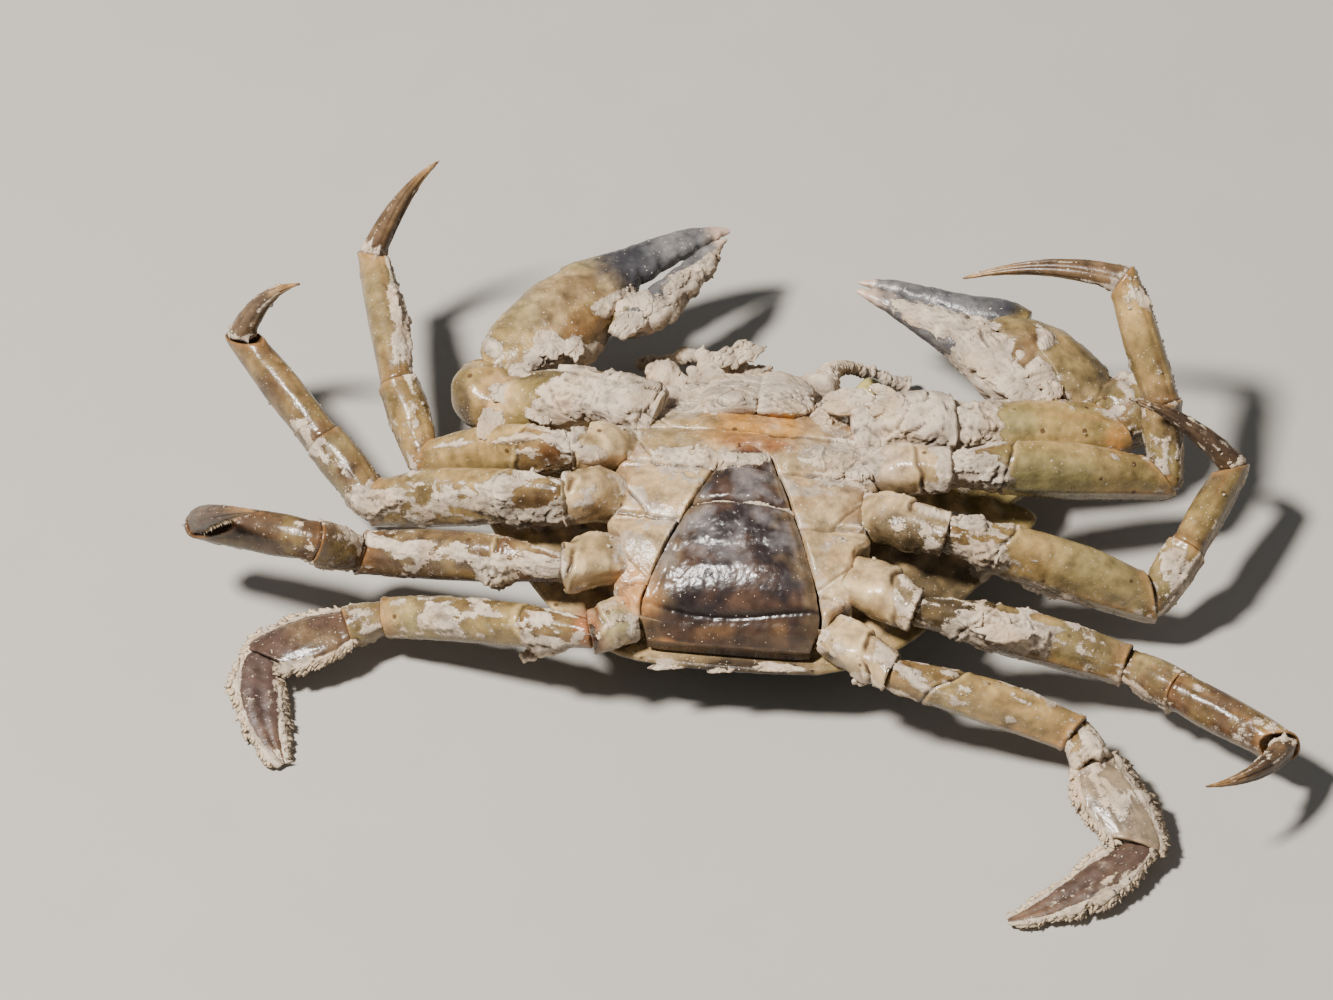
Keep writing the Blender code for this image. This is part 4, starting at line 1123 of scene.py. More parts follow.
def finger_colour(points, share, slate_from, slate_to):
    """Olive-tan palm, slate fingers, pink tip, in turn along the claw."""
    wavy = share + 0.03 * rough(points, 1.5, 3, 83)
    slate = step(slate_from, slate_to, wavy)
    return washed(
        limb_colour(points, 0.0), (CLAW_SAND, 0.6 * step(-0.1, 0.5, noise(points, 4.0, 81))),
        (CLAW_BROWN, 0.65 * step(-0.1, 0.5, rough(points, 1.9, 3, 82))), (UMBER, 0.22),
        (SLATE, 0.92 * slate), (SLATE_DARK, 0.75 * slate * step(slate_to + 0.22, slate_to, wavy)),
        (SLATE_PALE, 0.6 * step(0.0, 0.6, rough(points, 1.3, 3, 86)) * step(0.6, 0.75, wavy)),
        (TIP_PINK, step(0.82, 0.94, wavy)))


def claw_grid(path, half_width, half_thickness, first_cut, fullness):
    """A path of centres and two half sizes, both read from smooth curves, swept with one cut end."""
    path = np.array(path)
    knots = np.linspace(0, 1, len(path))
    length = stretches(path).sum()
    share = np.linspace(0, 1, int(length / SURFACE_STEP))
    centres = smooth(share, knots, path)
    centres[0] = path[0] + unit(path[1] - path[0]) * GAP / 2
    half_width, half_thickness = smooth(share, knots, half_width), smooth(share, knots, half_thickness)
    across = np.cross(np.gradient(centres, axis=0), (0, 0, 1))
    sides = int(2 * np.pi * half_width.max() * CLAW_GIRTH_SHARE / SURFACE_STEP)
    rings = swept(centres, half_width, half_thickness, across, fullness, sides, (first_cut, None))
    return rings, share[:, None], ring_angles(sides)[None, :], length


def biting_edge(grid, share, length, towards, height, spacing, grows):
    """Blunt teeth that face the other finger: height facing^3 |sin(pi along / spacing)|^0.7, faded out."""
    facing = np.clip((grid_normals(grid) * towards).sum(axis=-1), 0, 1)
    teeth = height * facing ** 3 * np.abs(np.sin(np.pi * share * length / spacing)) ** 0.7
    return teeth * step(*grows, share) * (1 - step(0.85, 1.0, share))


def dress_claw(side_name, side):
    """Hip, arm and wrist between the claw's joints, then the palm and the moving finger on their paths."""
    name = f"claw_{side_name}_"
    palm_path, finger_path = np.array(CLAW_PALM[side_name]), np.array(CLAW_FINGER[side_name])
    hip, arm, wrist, _ = limb_pieces(1, side, (*CLAW_JOINTS[side_name], palm_path[2]))
    dress_hip(name + "hip", *hip, *HIP_HALF_SIZE[1], -1, 0.55)
    dress_outer(name + "arm", "limb_shell", *arm, *ARM_SIZE, ARM_PROFILE, (0, 0, 1), "arm")
    dress_outer(name + "wrist", "limb_shell", *wrist, *WRIST_SIZE, WRIST_PROFILE, (0, 0, 1), "wrist",
                bend=(side * 1.1, -0.4, 0.0), fullness=2.8)
    finger_side = unit(finger_path[2] - palm_path[5])
    grid, share, angle, length = claw_grid(palm_path, PALM_HALF_WIDTH, PALM_HALF_THICKNESS, wrist[2][1], 2.3)
    grain = 0.05 * rough(grid, 0.6, 3, 85) + 0.12 * rough(grid, 3.0, 2, 87)
    furrow = -0.10 * bump(np.sin(angle - 1.3), 1.0, 0.02) * step(0.5, 0.6, share)
    relief = biting_edge(grid, share, length, finger_side, 0.28, 1.7, (0.52, 0.6)) + grain + furrow
    dress(name + "palm", "claw_shell", grid, finger_colour(grid, share, *PALM_SLATE), relief)
    grid, share, angle, length = claw_grid(finger_path, FINGER_HALF_WIDTH, FINGER_HALF_WIDTH, None, 2.2)
    relief = (biting_edge(grid, share, length, -finger_side, 0.22, 1.5, (0.25, 0.4))
              + 0.05 * rough(grid, 0.6, 3, 89))
    dress(name + "finger", "claw_shell", grid, finger_colour(grid, share, *FINGER_SLATE), relief)


for side_name, side in SIDES:
    dress_claw(side_name, side)
print("claws dressed")

# %% [markdown]
# ## The back shell
# The crab lies on its back shell, so from above only its rim, its front and the strip beside the mouth
# show. It is still worked out whole: a dome with the furrows that part its regions, a toothed edge with
# frontal lobes and eye notches, and a flank. Rings shrink from the edge towards the middle on both sides.
# A round grid squeezed to this outline would smear the teeth; here they fade out of the inner rings.

# %% The edge of the back shell
def margin_height(x, y):
    """Height of the shell's edge: 6.2 less 0.085 y, so higher at the tail, plus 0.9 (x / 24)^2."""
    return 6.2 - 0.085 * y + 0.9 * (x / 24.0) ** 2


def seat_height(y):
    """Height at which the breastplate sits in the shell: 10.5 less 0.013 (y - 1)^2."""
    return 10.5 - 0.013 * (y - 1.0) ** 2


def margin_outline():
    """Half outline from head to tail: frontal lobes, eye notch, teeth on an arc, hind edge."""
    half = CARAPACE_WIDTH / 2
    x = np.linspace(0, FRONT_HALF_WIDTH, 9)
    lobes = together(x, CARAPACE_FRONT + 0.45 * np.cos(2 * np.pi * x / 3.75) - 0.02 * x * x)
    orbit_floor = CARAPACE_FRONT - ORBIT_DEPTH - 0.4
    orbit = np.array([(6.3, 19.6), (7.0, orbit_floor), (8.6, orbit_floor - 0.2), (10.1, orbit_floor)])
    spacing = np.pi / 2 / (TEETH_PER_SIDE - 1)

    def on_arc(angle, inset=0.0):
        """A point on the front side's quarter oval, drawn in by inset."""
        return (ORBIT_HALF_WIDTH + (half - ORBIT_HALF_WIDTH - inset) * np.sin(angle),
                WIDEST_AT + (13.6 - inset) * np.cos(angle))

    points = [lobes, orbit, np.array([on_arc(0.0)])]
    for tooth in range(1, TEETH_PER_SIDE):
        points.append(np.array([on_arc((tooth - 0.62) * spacing, 0.35),
                                on_arc((tooth - 0.30) * spacing, TOOTH_NOTCH),
                                on_arc((tooth - 0.10) * spacing, 0.55),
                                on_arc(tooth * spacing)]))
    hind = np.linspace(0.12, 1, 11)
    points.append(smooth(hind, (0, 0.2, 0.45, 0.65, 0.78, 0.9, 1.0),
                         ((half, WIDEST_AT), (21.8, 1.5), (17.6, -5.5), (13.2, -10.9), (9.6, -13.3),
                          (5.0, CARAPACE_REAR + 0.1), (0.0, CARAPACE_REAR))))
    return np.concatenate(points)


print("half outline's points:", len(margin_outline()))


def path_distance(x, y, path):
    """Distance from each point to the nearest stretch of a broken line."""
    nearest = np.full(np.shape(x), 1e9)
    for (ax, ay), (bx, by) in zip(path[:-1], path[1:]):
        along = ((x - ax) * (bx - ax) + (y - ay) * (by - ay)) / ((bx - ax) ** 2 + (by - ay) ** 2)
        along = np.clip(along, 0, 1)
        nearest = np.minimum(nearest, np.hypot(x - ax - along * (bx - ax), y - ay - along * (by - ay)))
    return nearest


# %% The back shell itself
BACK_FURROWS = (
    ((17.5, 14.0), (12.5, 9.0), (7.5, 6.0), (4.4, 3.0), (0.0, 2.0)),
    ((4.4, 3.0), (5.2, -2.0), (4.6, -7.0), (2.6, -10.5)),
    ((3.8, 8.0), (2.8, 12.5), (1.1, 16.5)),
    ((7.5, 6.0), (8.8, 11.0), (8.0, 15.5)),
)
EDGE_SPOKES = 440
BACK_RINGS = 76
BLUR_BEARINGS = 240
MEAN_REACH = 21.0
RIDGE_SPACING = 2.6
BACK_BROWN = srgb(62, 58, 40)
BACK_SAND = srgb(150, 136, 92)
FLANK_TAN = srgb(190, 160, 116)


def back_relief(x, y):
    """Furrows between the regions, 0.4 mm deep, and low swellings beside them."""
    away = np.min([path_distance(np.abs(x), y, path) for path in BACK_FURROWS], axis=0)
    return -0.40 * bump(away, 0.0, 0.5) + 0.12 * bump(away, 1.6, 1.0)


def dress_carapace():
    """Rings under the edge, the edge, and rings over it; each spoke's reach loses its teeth as share^12."""
    left = margin_outline()
    knots = np.concatenate([[0], np.cumsum(stretches(left))])
    left = smooth(np.linspace(0, knots[-1], EDGE_SPOKES // 2 + 1), knots, left)
    edge = np.concatenate([left, (left * (-1, 1))[1:-1][::-1]])
    centre = np.array([0.0, 3.0])
    spoke = edge - centre
    reach = np.linalg.norm(spoke, axis=1)
    heading = spoke / reach[:, None]
    bearing = np.arctan2(heading[:, 1], heading[:, 0])
    even = np.linspace(-np.pi, np.pi, BLUR_BEARINGS, endpoint=False)
    order = bearing.argsort()
    even_reach = np.interp(even, bearing[order], reach[order], period=2 * np.pi)
    nearness = bump(wrapped(bearing[:, None] - even), 0.0, TOOTH_BLUR)
    plain = nearness @ even_reach / nearness.sum(axis=1)
    sideways = heading[:, 0] ** 2
    share = np.sin(np.linspace(0.03, 0.985, BACK_RINGS) * np.pi / 2)[:, None]
    radius = share * (plain + (reach - plain) * share ** TOOTH_FADE)
    x, y = np.moveaxis(centre + heading * radius[..., None], -1, 0)
    margin = margin_height(x, y)
    below = together(x, y, margin - DOME_DEPTH * (1 - share ** 2.4) ** 0.85)
    rise = (6.2 - sideways) * (1 - share ** (2.4 - 0.9 * sideways)) ** (1 + 0.2 * sideways)
    seat = np.maximum(seat_height(y) - GAP / 2, margin)
    above = together(x, y, np.minimum(margin + rise, seat))
    rim_ring = together(edge[:, 0], edge[:, 1], margin_height(edge[:, 0], edge[:, 1]))
    body = np.concatenate([below, rim_ring[None], above[::-1]])
    x, y = body[..., 0], body[..., 1]
    grid = to_world(body)
    is_back = np.arange(len(body))[:, None] < BACK_RINGS
    all_shares = np.concatenate([share, [[1.0]], share[::-1]])
    inner = step(1.0, 0.9, all_shares)
    lip = 0.25 * bump((1 - all_shares) * MEAN_REACH, 0.0, 0.55)
    granules = 0.07 * np.maximum(noise(grid, 0.7, 91), 0) + 0.05 * rough(grid, 1.6, 3, 93)
    ridges = 0.16 * np.cos(2 * np.pi * (1 - all_shares) * MEAN_REACH / RIDGE_SPACING)
    ridges = ridges * inner * (all_shares > 0.6)
    relief = np.where(is_back, back_relief(x, y) * inner + granules, ridges + 0.7 * granules) + lip
    back = washed(
        BACK_OLIVE, (BACK_BROWN, step(-0.2, 0.6, rough(grid, 6.0, 3, 95))),
        (BACK_SAND, 0.6 * step(0.25, 0.7, noise(grid, 3.5, 97))))
    flank = washed(
        OLIVE, (FLANK_TAN, step(-0.4, 0.4, noise(grid, 5.0, 99))),
        (BROWN, 0.35 * step(0.0, 0.7, noise(grid, 2.0, 101))))
    mud = np.where(is_back, -0.45, -0.10)
    dress("carapace", "back_shell", grid, np.where(is_back[..., None], back, flank), relief, mud)


dress_carapace()
print("back shell dressed")

# %% [markdown]
# ## The breastplate
# Plates are fused in one shield and parted by four sunken cross seams, each paler along its lip. Short
# slanting seams cut off the small side plates at the hips. The shield is a height over the body's own x
# and y, with a pocket for the tail flap and a wall and foot all round. Seams could be cut with a knife tool;
# as bells of the distance to a line they keep their depth and width wherever the shield bends.

# %% The breastplate's heights
SEAM_SLANT = 0.9


def breast_height(x, y):
    """Height of the middle line at y, less a fall towards the side that grows as (x / half)^2.2."""
    middle = smooth(y, (-13.0, -12.5, -10.6, -6.8, -3.0, 0.6, 3.0, 6.0, 9.0, 12.0, 15.0, 16.2),
                    (8.9, 9.7, 12.1, 14.1, 14.9, 15.1, 15.0, 14.3, 12.9, 11.1, 9.3, 8.5))
    fall = smooth(y, (-13.0, -12.0, -10.6, -6.8, -3.0, 3.0, 9.0, 12.0, 16.2),
                  (-0.9, -1.1, 0.2, 0.8, 0.9, 0.9, 1.2, 1.1, 0.4))
    return middle - fall * np.abs(x / breast_half_width(y)) ** 2.2


def pleon_half_width(y):
    """Half width of the tail flap's pocket at y, widest near its root."""
    return smooth(y, (-13.4, -12.3, -10.6, -6.8, -3.0, 0.4, 1.0, 2.4, 3.3),
                  (6.6, 7.2, 6.9, 5.6, 4.0, 2.6, 2.3, 1.6, 0.5))


def wander(side, y, seed, size=2.0):
    """A wandering shift for lines on the breastplate, in millimetres, from two sizes of noise."""
    at = together(side, y, 0.0)
    return 0.30 * noise(at, size, seed) + 0.10 * noise(at, size / 3, seed + 1)


def breast_seams(side, y):
    """How much a point lies in a seam: the cross seams, slanting a little, and the side plates' seams."""
    half = breast_half_width(y)
    y = y + wander(side, y, 131)
    outer = np.clip((side - 3.0) / 7.0, 0, 1)
    deep = np.zeros_like(y)
    for place in BREAST_SEAMS:
        line = place + SEAM_SLANT * (outer - 0.5) * np.sign(place + 6)
        deep = deep + bump(y, line, 0.12)
        slanting = line + 2.6 * (side - (half - 2.3)) / 2.3
        deep = deep + 0.6 * bump(y, slanting, 0.15) * step(half - 2.5, half - 2.2, side)
    return np.minimum(deep, 1.0)


def breast_relief(side, y):
    """Plates swelling by 0.42 mm between their seams, which are 0.30 mm deep in hollows of 0.15 mm."""
    bounds = np.array([-13.0, *sorted(BREAST_SEAMS), 13.0])
    i = np.clip(np.searchsorted(bounds, y) - 1, 0, len(bounds) - 2)
    s = np.clip((y - bounds[i]) / (bounds[i + 1] - bounds[i]), 0, 1)
    hollow = sum(bump(y, place, 0.7) for place in BREAST_SEAMS)
    return 0.42 * np.sin(np.pi * s) ** 0.7 - 0.15 * hollow - 0.30 * breast_seams(side, y)


print("breastplate's height at its middle:", breast_height(0.0, 0.0).round(1), "mm")

# %% Breastplate surface
TOP_COLUMNS = 236
TOP_ROWS = 280
COLUMN_SPREAD = 0.96
TOOTH_REACH = 1.0
BREAST_TAN = srgb(178, 146, 106)
BREAST_BROWN = srgb(168, 136, 98)
BREAST_GREY = srgb(186, 174, 162)
BREAST_OLIVE = srgb(148, 130, 96)
MARGIN_SHADOW_BROWN = srgb(126, 92, 62)
SEAM_BROWN = srgb(112, 80, 54)
SEAM_LIP = srgb(232, 216, 192)


def dress_sternum():
    """The shield's top between its walls: height less the pocket, plus relief, over a flat foot."""
    y = np.linspace(STERNUM_REAR, MOUTH_FRONT, TOP_ROWS)[:, None]
    half = breast_half_width(y) + TOOTH_REACH * sum(bump(y, place, 0.85) for place in BREAST_SEAMS)
    even = np.linspace(-1, 1, TOP_COLUMNS)
    across = np.sin(even * np.pi / 2 * COLUMN_SPREAD) / np.sin(np.pi / 2 * COLUMN_SPREAD)
    across = 0.5 * across + 0.5 * even
    x = half * across[None, :]
    side, y_all = np.abs(x), y + 0 * x
    pocket = pleon_half_width(np.minimum(y_all, TAIL_TIP)) + GAP
    pocket_end = TAIL_TIP + GAP + 0.1
    in_pocket = step(pocket + 0.12, pocket - 0.05, side) * step(pocket_end + 0.22, pocket_end, y_all)
    relief = breast_relief(side, y_all) * step(16.2, 13.0, y_all) * (1 - in_pocket)
    top = breast_height(x, y_all) - PLEON_POCKET * in_pocket + relief
    top = top - 0.5 * np.clip((side - (half - 0.5)) / 0.5, 0, 1) ** 2
    foot = seat_height(y) + GAP / 2
    top = np.maximum(top, foot + 0.25)
    wall = np.linspace(0, 1, 8)[None, 1:]
    right = together(half, y, top[:, -1:] + (foot - top[:, -1:]) * wall)
    bottom = together(half * np.linspace(1, -1, 12)[None, 1:], y, foot)
    left = (right * (-1, 1, 1))[:, ::-1][:, 1:]
    body = np.concatenate([together(x, y, top), right, bottom, left], axis=1)
    grid = to_world(body)
    side, y_all = np.abs(body[..., 0]), body[..., 1]
    seam, pale = breast_seams(side, y_all), breast_seams(side, y_all - 0.30)
    patchy = step(-0.35, 0.25, rough(grid, 1.6, 3, 133))
    margin = side / half + 0.25 * rough(grid, 1.8, 3, 136)
    colour = washed(
        PINK_TAN, (BREAST_TAN, step(-0.3, 0.6, rough(grid, 2.5, 3, 103))),
        (BREAST_BROWN, 0.45 * step(0.0, 0.6, rough(grid, 3.4, 2, 105))),
        (BREAST_GREY, 0.65 * step(0.0, 0.4, rough(grid, 1.4, 3, 106))),
        (BREAST_OLIVE, 0.6 * step(0.1, 0.5, rough(grid, 2.1, 3, 134))),
        # painted shadow: the breastplate's sides, next to the hips, are browned
        (MARGIN_SHADOW_BROWN, 0.55 * step(0.75, 1.05, margin)), (SEAM_BROWN, 0.65 * seam * patchy),
        (SEAM_LIP, 0.7 * pale * (1 - seam) * patchy))
    fine = 0.06 * rough(grid, 0.8, 3, 107) + 0.14 * rough(grid, 2.8, 2, 108)
    nearest, second, _ = cells(grid + 0.5 * noise(grid, 1.1, 135)[..., None], 2.4, 137)
    net = bump(second, nearest, 0.10) * step(-0.1, 0.3, noise(grid, 3.2, 139))
    mud = (0.50 * pale + 0.30 * seam) * patchy + 0.34 * net
    dress("sternum", "breast_shell", grid, colour, fine, mud)


dress_sternum()
print("breastplate dressed")

# %% [markdown]
# ## The tail flap
# A male crab's tail is a narrow triangle folded into its pocket. Here it is nearly black and glossy, with
# a white line of dried salt at its front seam, a dark crease near its root and an amber band behind that.
# It is a separate plate over its pocket, made of the same kind of grid as the breastplate, because its
# rings swell and crease across it: each swelling is one row of a table, and so is easy to move.

# %% Tail flap
SIDE_COLUMNS = 168
TAIL_ROW_STEP = 0.075
TAIL_OVERLAP = 0.14
TAIL_BANDS = ((0.26, -11.05, 0.75), (0.22, -12.75, 0.42), (0.36, -9.9, 1.6))
TAIL_WAISTS = (-7.4, -9.6)
TAIL_EDGE = srgb(116, 96, 72)
TAIL_PAINTED_SHEEN = srgb(142, 136, 136)
TAIL_ROOT = srgb(54, 40, 32)
TAIL_AMBER = srgb(124, 92, 58)
TAIL_CREASE = srgb(26, 18, 16)


def dress_tail(node, rear, front, seams):
    """A plate that bulges as 0.9 (1 - |x / half|^3), leans up to the left, and is thinned at its two ends."""
    y = np.linspace(rear, front, int((front - rear) / TAIL_ROW_STEP))[:, None]
    half = pleon_half_width(y) + TAIL_OVERLAP
    x = half * np.sin(np.linspace(-1, 1, SIDE_COLUMNS) * np.pi / 2)[None, :]
    y_all = y + 0 * x
    reach = np.clip(np.minimum(y_all - rear, front - y_all) / 0.5, 0, 1)
    y_plate = np.maximum(y_all, STERNUM_REAR)
    base = breast_height(x, y_plate) - 1.2 * (y_plate - y_all)
    groove = sum((bump(y_all, place, 0.2) for place in seams), 0 * y_all)
    across_share = np.abs(x / half)
    bulge = 0.9 * (1 - across_share ** 3.0) - 0.35 * groove - 0.3 * (1 - reach) ** 2 + 0.05
    band = sum(height * bump(y_all, place, width) for height, place, width in TAIL_BANDS)
    crease = bump(y_all, -12.0 + 0.010 * x ** 2, 0.20) * step(1.0, 0.85, across_share)
    ledge = 0.14 * bump(across_share, 0.88, 0.06) * step(-12.4, -11.5, y_all)
    waist = sum(bump(y_all, place, 0.5) for place in TAIL_WAISTS) * 0.07
    hammered = 0.05 * rough(together(x, y_all, 0.0), 0.7, 3, 110)
    lean = 0.11 * x * (1 - across_share ** 3) * step(-3.0, -6.0, y_all)
    detail = band - 0.24 * crease + ledge - waist + hammered + lean
    top = base + bulge + detail * (1 - 0.8 * (1 - reach))
    floor = np.maximum(base - PLEON_POCKET + GAP, seat_height(y_all) + GAP)
    back = np.linspace(SIDE_COLUMNS - 2, 1, 12).round().astype(int)
    body = np.concatenate([together(x, y, np.maximum(top, 0)), together(x, y, floor)[:, back]], axis=1)
    grid = to_world(body)
    edge_share = np.abs(body[..., 0]) / half
    at_y = body[..., 1]
    # painted reflection: a pale grey sheen painted over the tail's middle
    painted_sheen = step(-0.5, 0.5, rough(grid, 1.5, 3, 112)) * step(-11.0, -7.0, at_y)
    colour = washed(
        TAIL_BLACK, (TAIL_BROWN, step(-0.3, 0.6, rough(grid, 2.4, 3, 109))),
        (TAIL_EDGE, 0.75 * step(0.62, 1.0, edge_share + 0.25 * rough(grid, 1.4, 2, 108))),
        (TAIL_PAINTED_SHEEN, 0.42 * painted_sheen), (TAIL_ROOT, 0.6 * step(-11.6, -12.2, at_y)),
        (TAIL_AMBER, 0.42 * bump(at_y, -12.85, 0.5) * step(-0.2, 0.6, noise(grid, 1.6, 114))),
        # near-black in the crease: partly its dark row of hairs, partly painted shade in the crease
        (TAIL_CREASE, 0.9 * bump(at_y, -12.0 + 0.010 * body[..., 0] ** 2, 0.24)))
    seam_salt = step(front - 0.22, front - 0.04, at_y) * (front < 0)
    mud = 1.3 * seam_salt - 0.18 + 0.25 * (front > 0) - 0.3 * bump(at_y, -11.0, 1.4)
    dress(node, "tail_shell", grid, colour, 0.02 * rough(grid, 0.9, 3, 111), mud)


dress_tail("pleon", -13.4, -3.15, ())
dress_tail("pleon_tip", -2.85, TAIL_TIP, (0.7,))
print("tail flap dressed")

# %% [markdown]
# ## Mouth, eyes and feelers
# Two flat mouth-legs lie like lids over the mouth. The eyes sit on short stalks in the notches of the
# front: a green-yellow stalk with a dark olive, glossy end, and a feeler beside each. Most of this is under
# the mud. The lids are grids over the body's x and y, like the breastplate; an eye and a feeler are round
# tubes along a few points, which is less work than a ball joined to a stalk, and has no seam to hide.

# %% Mouth lids
LID_BROWN = srgb(168, 118, 70)
LID_MUD = 0.75
LID_ROWS = 80
LID_COLUMNS = 48
LID_JOINT = 13.2


def dress_mouth_leg(side_name, side):
    """A lid on the breastplate: 0.45 mm thick, domed as 1 - across^4, with a groove at its joint."""
    knots = (8.7, 10.0, LID_JOINT, 15.0, 16.0)
    y = np.linspace(knots[0], knots[-1], LID_ROWS)[:, None]
    wide = smooth(y, knots, (1.5, 1.9, 1.85, 1.6, 0.9))
    across = np.sin(np.linspace(-1, 1, LID_COLUMNS) * np.pi / 2)[None, :]
    x = GAP / 2 + wide + wide * across
    joint = bump(y, LID_JOINT, 0.2)
    base = breast_height(x, y + 0 * x) + GAP
    top = base + 0.45 + 0.45 * (1 - across ** 4) - 0.25 * joint + 0.06 * np.cos(2 * np.pi * across)
    body = np.concatenate([together(x, y, top), together(x, y, base)[:, ::-6]], axis=1) * (side, 1, 1)
    grid = to_world(body)
    colour = mix(LID_BROWN, OLIVE, step(-0.2, 0.5, noise(grid, 1.5, 113)))
    relief = 0.03 * rough(grid, 0.5, 2, 115)
    dress("maxilliped_" + side_name, "breast_shell", grid, colour, relief, LID_MUD)


print("lids carry mud of strength", LID_MUD)

# %% Eyes and feelers
TUBE_STEP = 0.07
TUBE_SIDES = 40
STALK_GREEN = srgb(168, 154, 92)
CORNEA = srgb(58, 52, 34)
FEELER_TAN = srgb(170, 128, 78)
EYE_PATH = ((6.9, 18.85, 5.2), (7.7, 19.05, 5.3), (8.8, 19.45, 5.4), (10.1, 19.7, 5.4))
EYE_RADIUS = (0.6, 0.85, 1.35, 0.4)
FEELER_PATH = ((4.4, 16.85, 8.2), (5.0, 19.0, 7.5), (5.9, 21.6, 5.9), (8.2, 23.5, 3.4), (11.4, 24.3, 1.4))
FEELER_RADIUS = (0.8, 0.65, 0.42, 0.28, 0.25)
EYE_MUD = {1: -0.8, -1: 0.75}
FEELER_MUD = 0.95


def dress_body_tube(node, slot, path, radius, colour_at, ring_length, ring_depth, mud, side):
    """A round tube along a path in the body's frame, ringed by a cosine of its length."""
    path = np.array(path) * (side, 1, 1)
    knots = np.linspace(0, 1, len(path))
    length = stretches(path).sum()
    share = np.linspace(0, 1, int(length / TUBE_STEP))
    thick = smooth(share, knots, radius)
    grid = swept(to_world(smooth(share, knots, path)), thick, thick, (0.1, 0.2, 1.0), 2.0, TUBE_SIDES)
    rings = ring_depth * np.cos(2 * np.pi * share * length / ring_length)[:, None]
    dress(node, slot, grid, colour_at(share[:, None]), rings, mud)


def eye_colour(share):
    """Green-yellow stalk and socket, dark olive cornea at the far third."""
    return mix(STALK_GREEN, CORNEA, step(0.60, 0.70, share))


def feeler_colour(share):
    """Tan at the root, browner in proportion to the share along it."""
    return mix(FEELER_TAN, BROWN, share * 0.7)


for side_name, side in SIDES:
    dress_mouth_leg(side_name, side)
    dress_body_tube("eye_" + side_name, "eye", EYE_PATH, EYE_RADIUS, eye_colour, 0.6, 0.0,
                    EYE_MUD[side], side)
    dress_body_tube("antenna_" + side_name, "limb_shell", FEELER_PATH, FEELER_RADIUS, feeler_colour,
                    0.5, 0.03, FEELER_MUD, side)
print("mouth, eyes and feelers dressed; skins:", len(SKIN))

# %% [markdown]
# ## Loose mud
# Some of the mud stands clear of the shell as cracked flakes, lobes and clumps, and crumbs of it lie
# everywhere. A flake is a flattened ball with a ragged outline, its top broken in steps along the borders of
# cells. Each one is placed by the spot where it shows in the picture and by its height above the floor; where
# the table says None, it lies on whatever skin shows at that spot. Raising the skin alone could not do this,
# because a flake has an edge and an underside of its own.

# %% Flakes, lobes and clumps: u, v, height, half sizes across, back and thick, turn and tilt in degrees
MUD_FLAKES = {
    "over the mouth, root": (704, 377, 7.6, 1.7, 1.3, 0.42, 25, 20),
    "over the mouth, middle": (716, 366, 8.2, 2.2, 1.3, 0.30, 38, 34),
    "over the mouth, upper": (736, 356, 8.9, 1.7, 1.2, 0.28, 50, 44),
    "over the mouth, tip": (752, 350, 9.2, 1.1, 0.8, 0.30, 20, 30),
    "over the mouth, under": (742, 372, 7.2, 1.9, 0.9, 0.36, 15, -10),
    "by the left eye, rim": (888, 392, 7.0, 1.6, 0.6, 0.30, -32, 10),
    "by the left eye, side": (818, 378, 8.2, 0.9, 0.5, 0.30, 40, 20),
    "by the left eye, root": (806, 393, 7.8, 1.1, 0.7, 0.35, 0, 0),
    "right arm's slab": (564, 391, 11.0, 2.5, 1.6, 0.34, 5, 12),
    "right arm's slab, far": (608, 386, 10.8, 1.8, 1.2, 0.32, -10, 8),
    "right arm's slab, end": (541, 411, 11.2, 1.1, 1.2, 0.30, 10, 14),
    "right palm's flake": (547, 343, 11.4, 1.3, 1.6, 0.30, 30, 22),
    "right palm's second flake": (573, 349, 11.2, 0.8, 1.1, 0.30, 10, 26),
    "right finger's clump": (628, 322, 10.6, 1.5, 1.0, 0.55, 40, 20),
    "right finger's second clump": (650, 304, 11.0, 1.4, 0.8, 0.45, 45, 24),
    "right finger's third clump": (676, 282, 11.4, 1.3, 0.7, 0.35, 48, 20),
    "left palm's cake": (1000, 364, 13.0, 2.5, 1.7, 0.45, -15, 14),
    "left palm's cake, low": (1022, 392, 12.2, 1.9, 1.2, 0.45, 0, 20),
    "left palm's cake, end": (1052, 392, 12.0, 1.2, 1.0, 0.40, 30, 16),
    "left palm's lump": (1038, 334, 12.8, 1.1, 0.9, 0.50, 0, 20),
    "left finger's plate": (955, 322, 13.2, 1.8, 0.9, 0.30, -18, 20),
    "rear rim, right flake": (670, 662, None, 1.7, 0.5, 0.22, 6, 24),
    "rear rim, middle flake": (722, 667, None, 1.3, 0.4, 0.20, 0, 24),
    "rear rim, left flake": (778, 667, None, 1.8, 0.45, 0.22, -4, 24),
    "right wrist's cake": (492, 424, None, 1.2, 1.7, 0.30, -14, 12),
    "right wrist's upper cake": (500, 392, None, 1.2, 0.9, 0.30, 20, 20),
    "right fifth leg's lump": (548, 648, 5.0, 1.5, 0.6, 0.45, 10, 10),
    "right fifth leg's second lump": (528, 655, 4.6, 0.9, 0.5, 0.35, 30, 10),
    "left fifth hip's lump": (858, 678, 7.6, 0.9, 0.5, 0.35, 20, 10),
    "left fourth leg's cake": (1004, 631, None, 2.2, 0.8, 0.34, -10, 14),
    "front, left fill": (684, 395, None, 2.2, 1.0, 0.40, 6, 16),
    "front, right fill": (848, 402, None, 2.4, 1.0, 0.40, -8, 16),
    "front, right fill, far": (890, 408, None, 2.0, 1.0, 0.36, -4, 12),
}
FLAKE_ROWS = 34
FLAKE_SIDES = 80
RAGGED = 0.42
NEAR_SPOT = 3.0


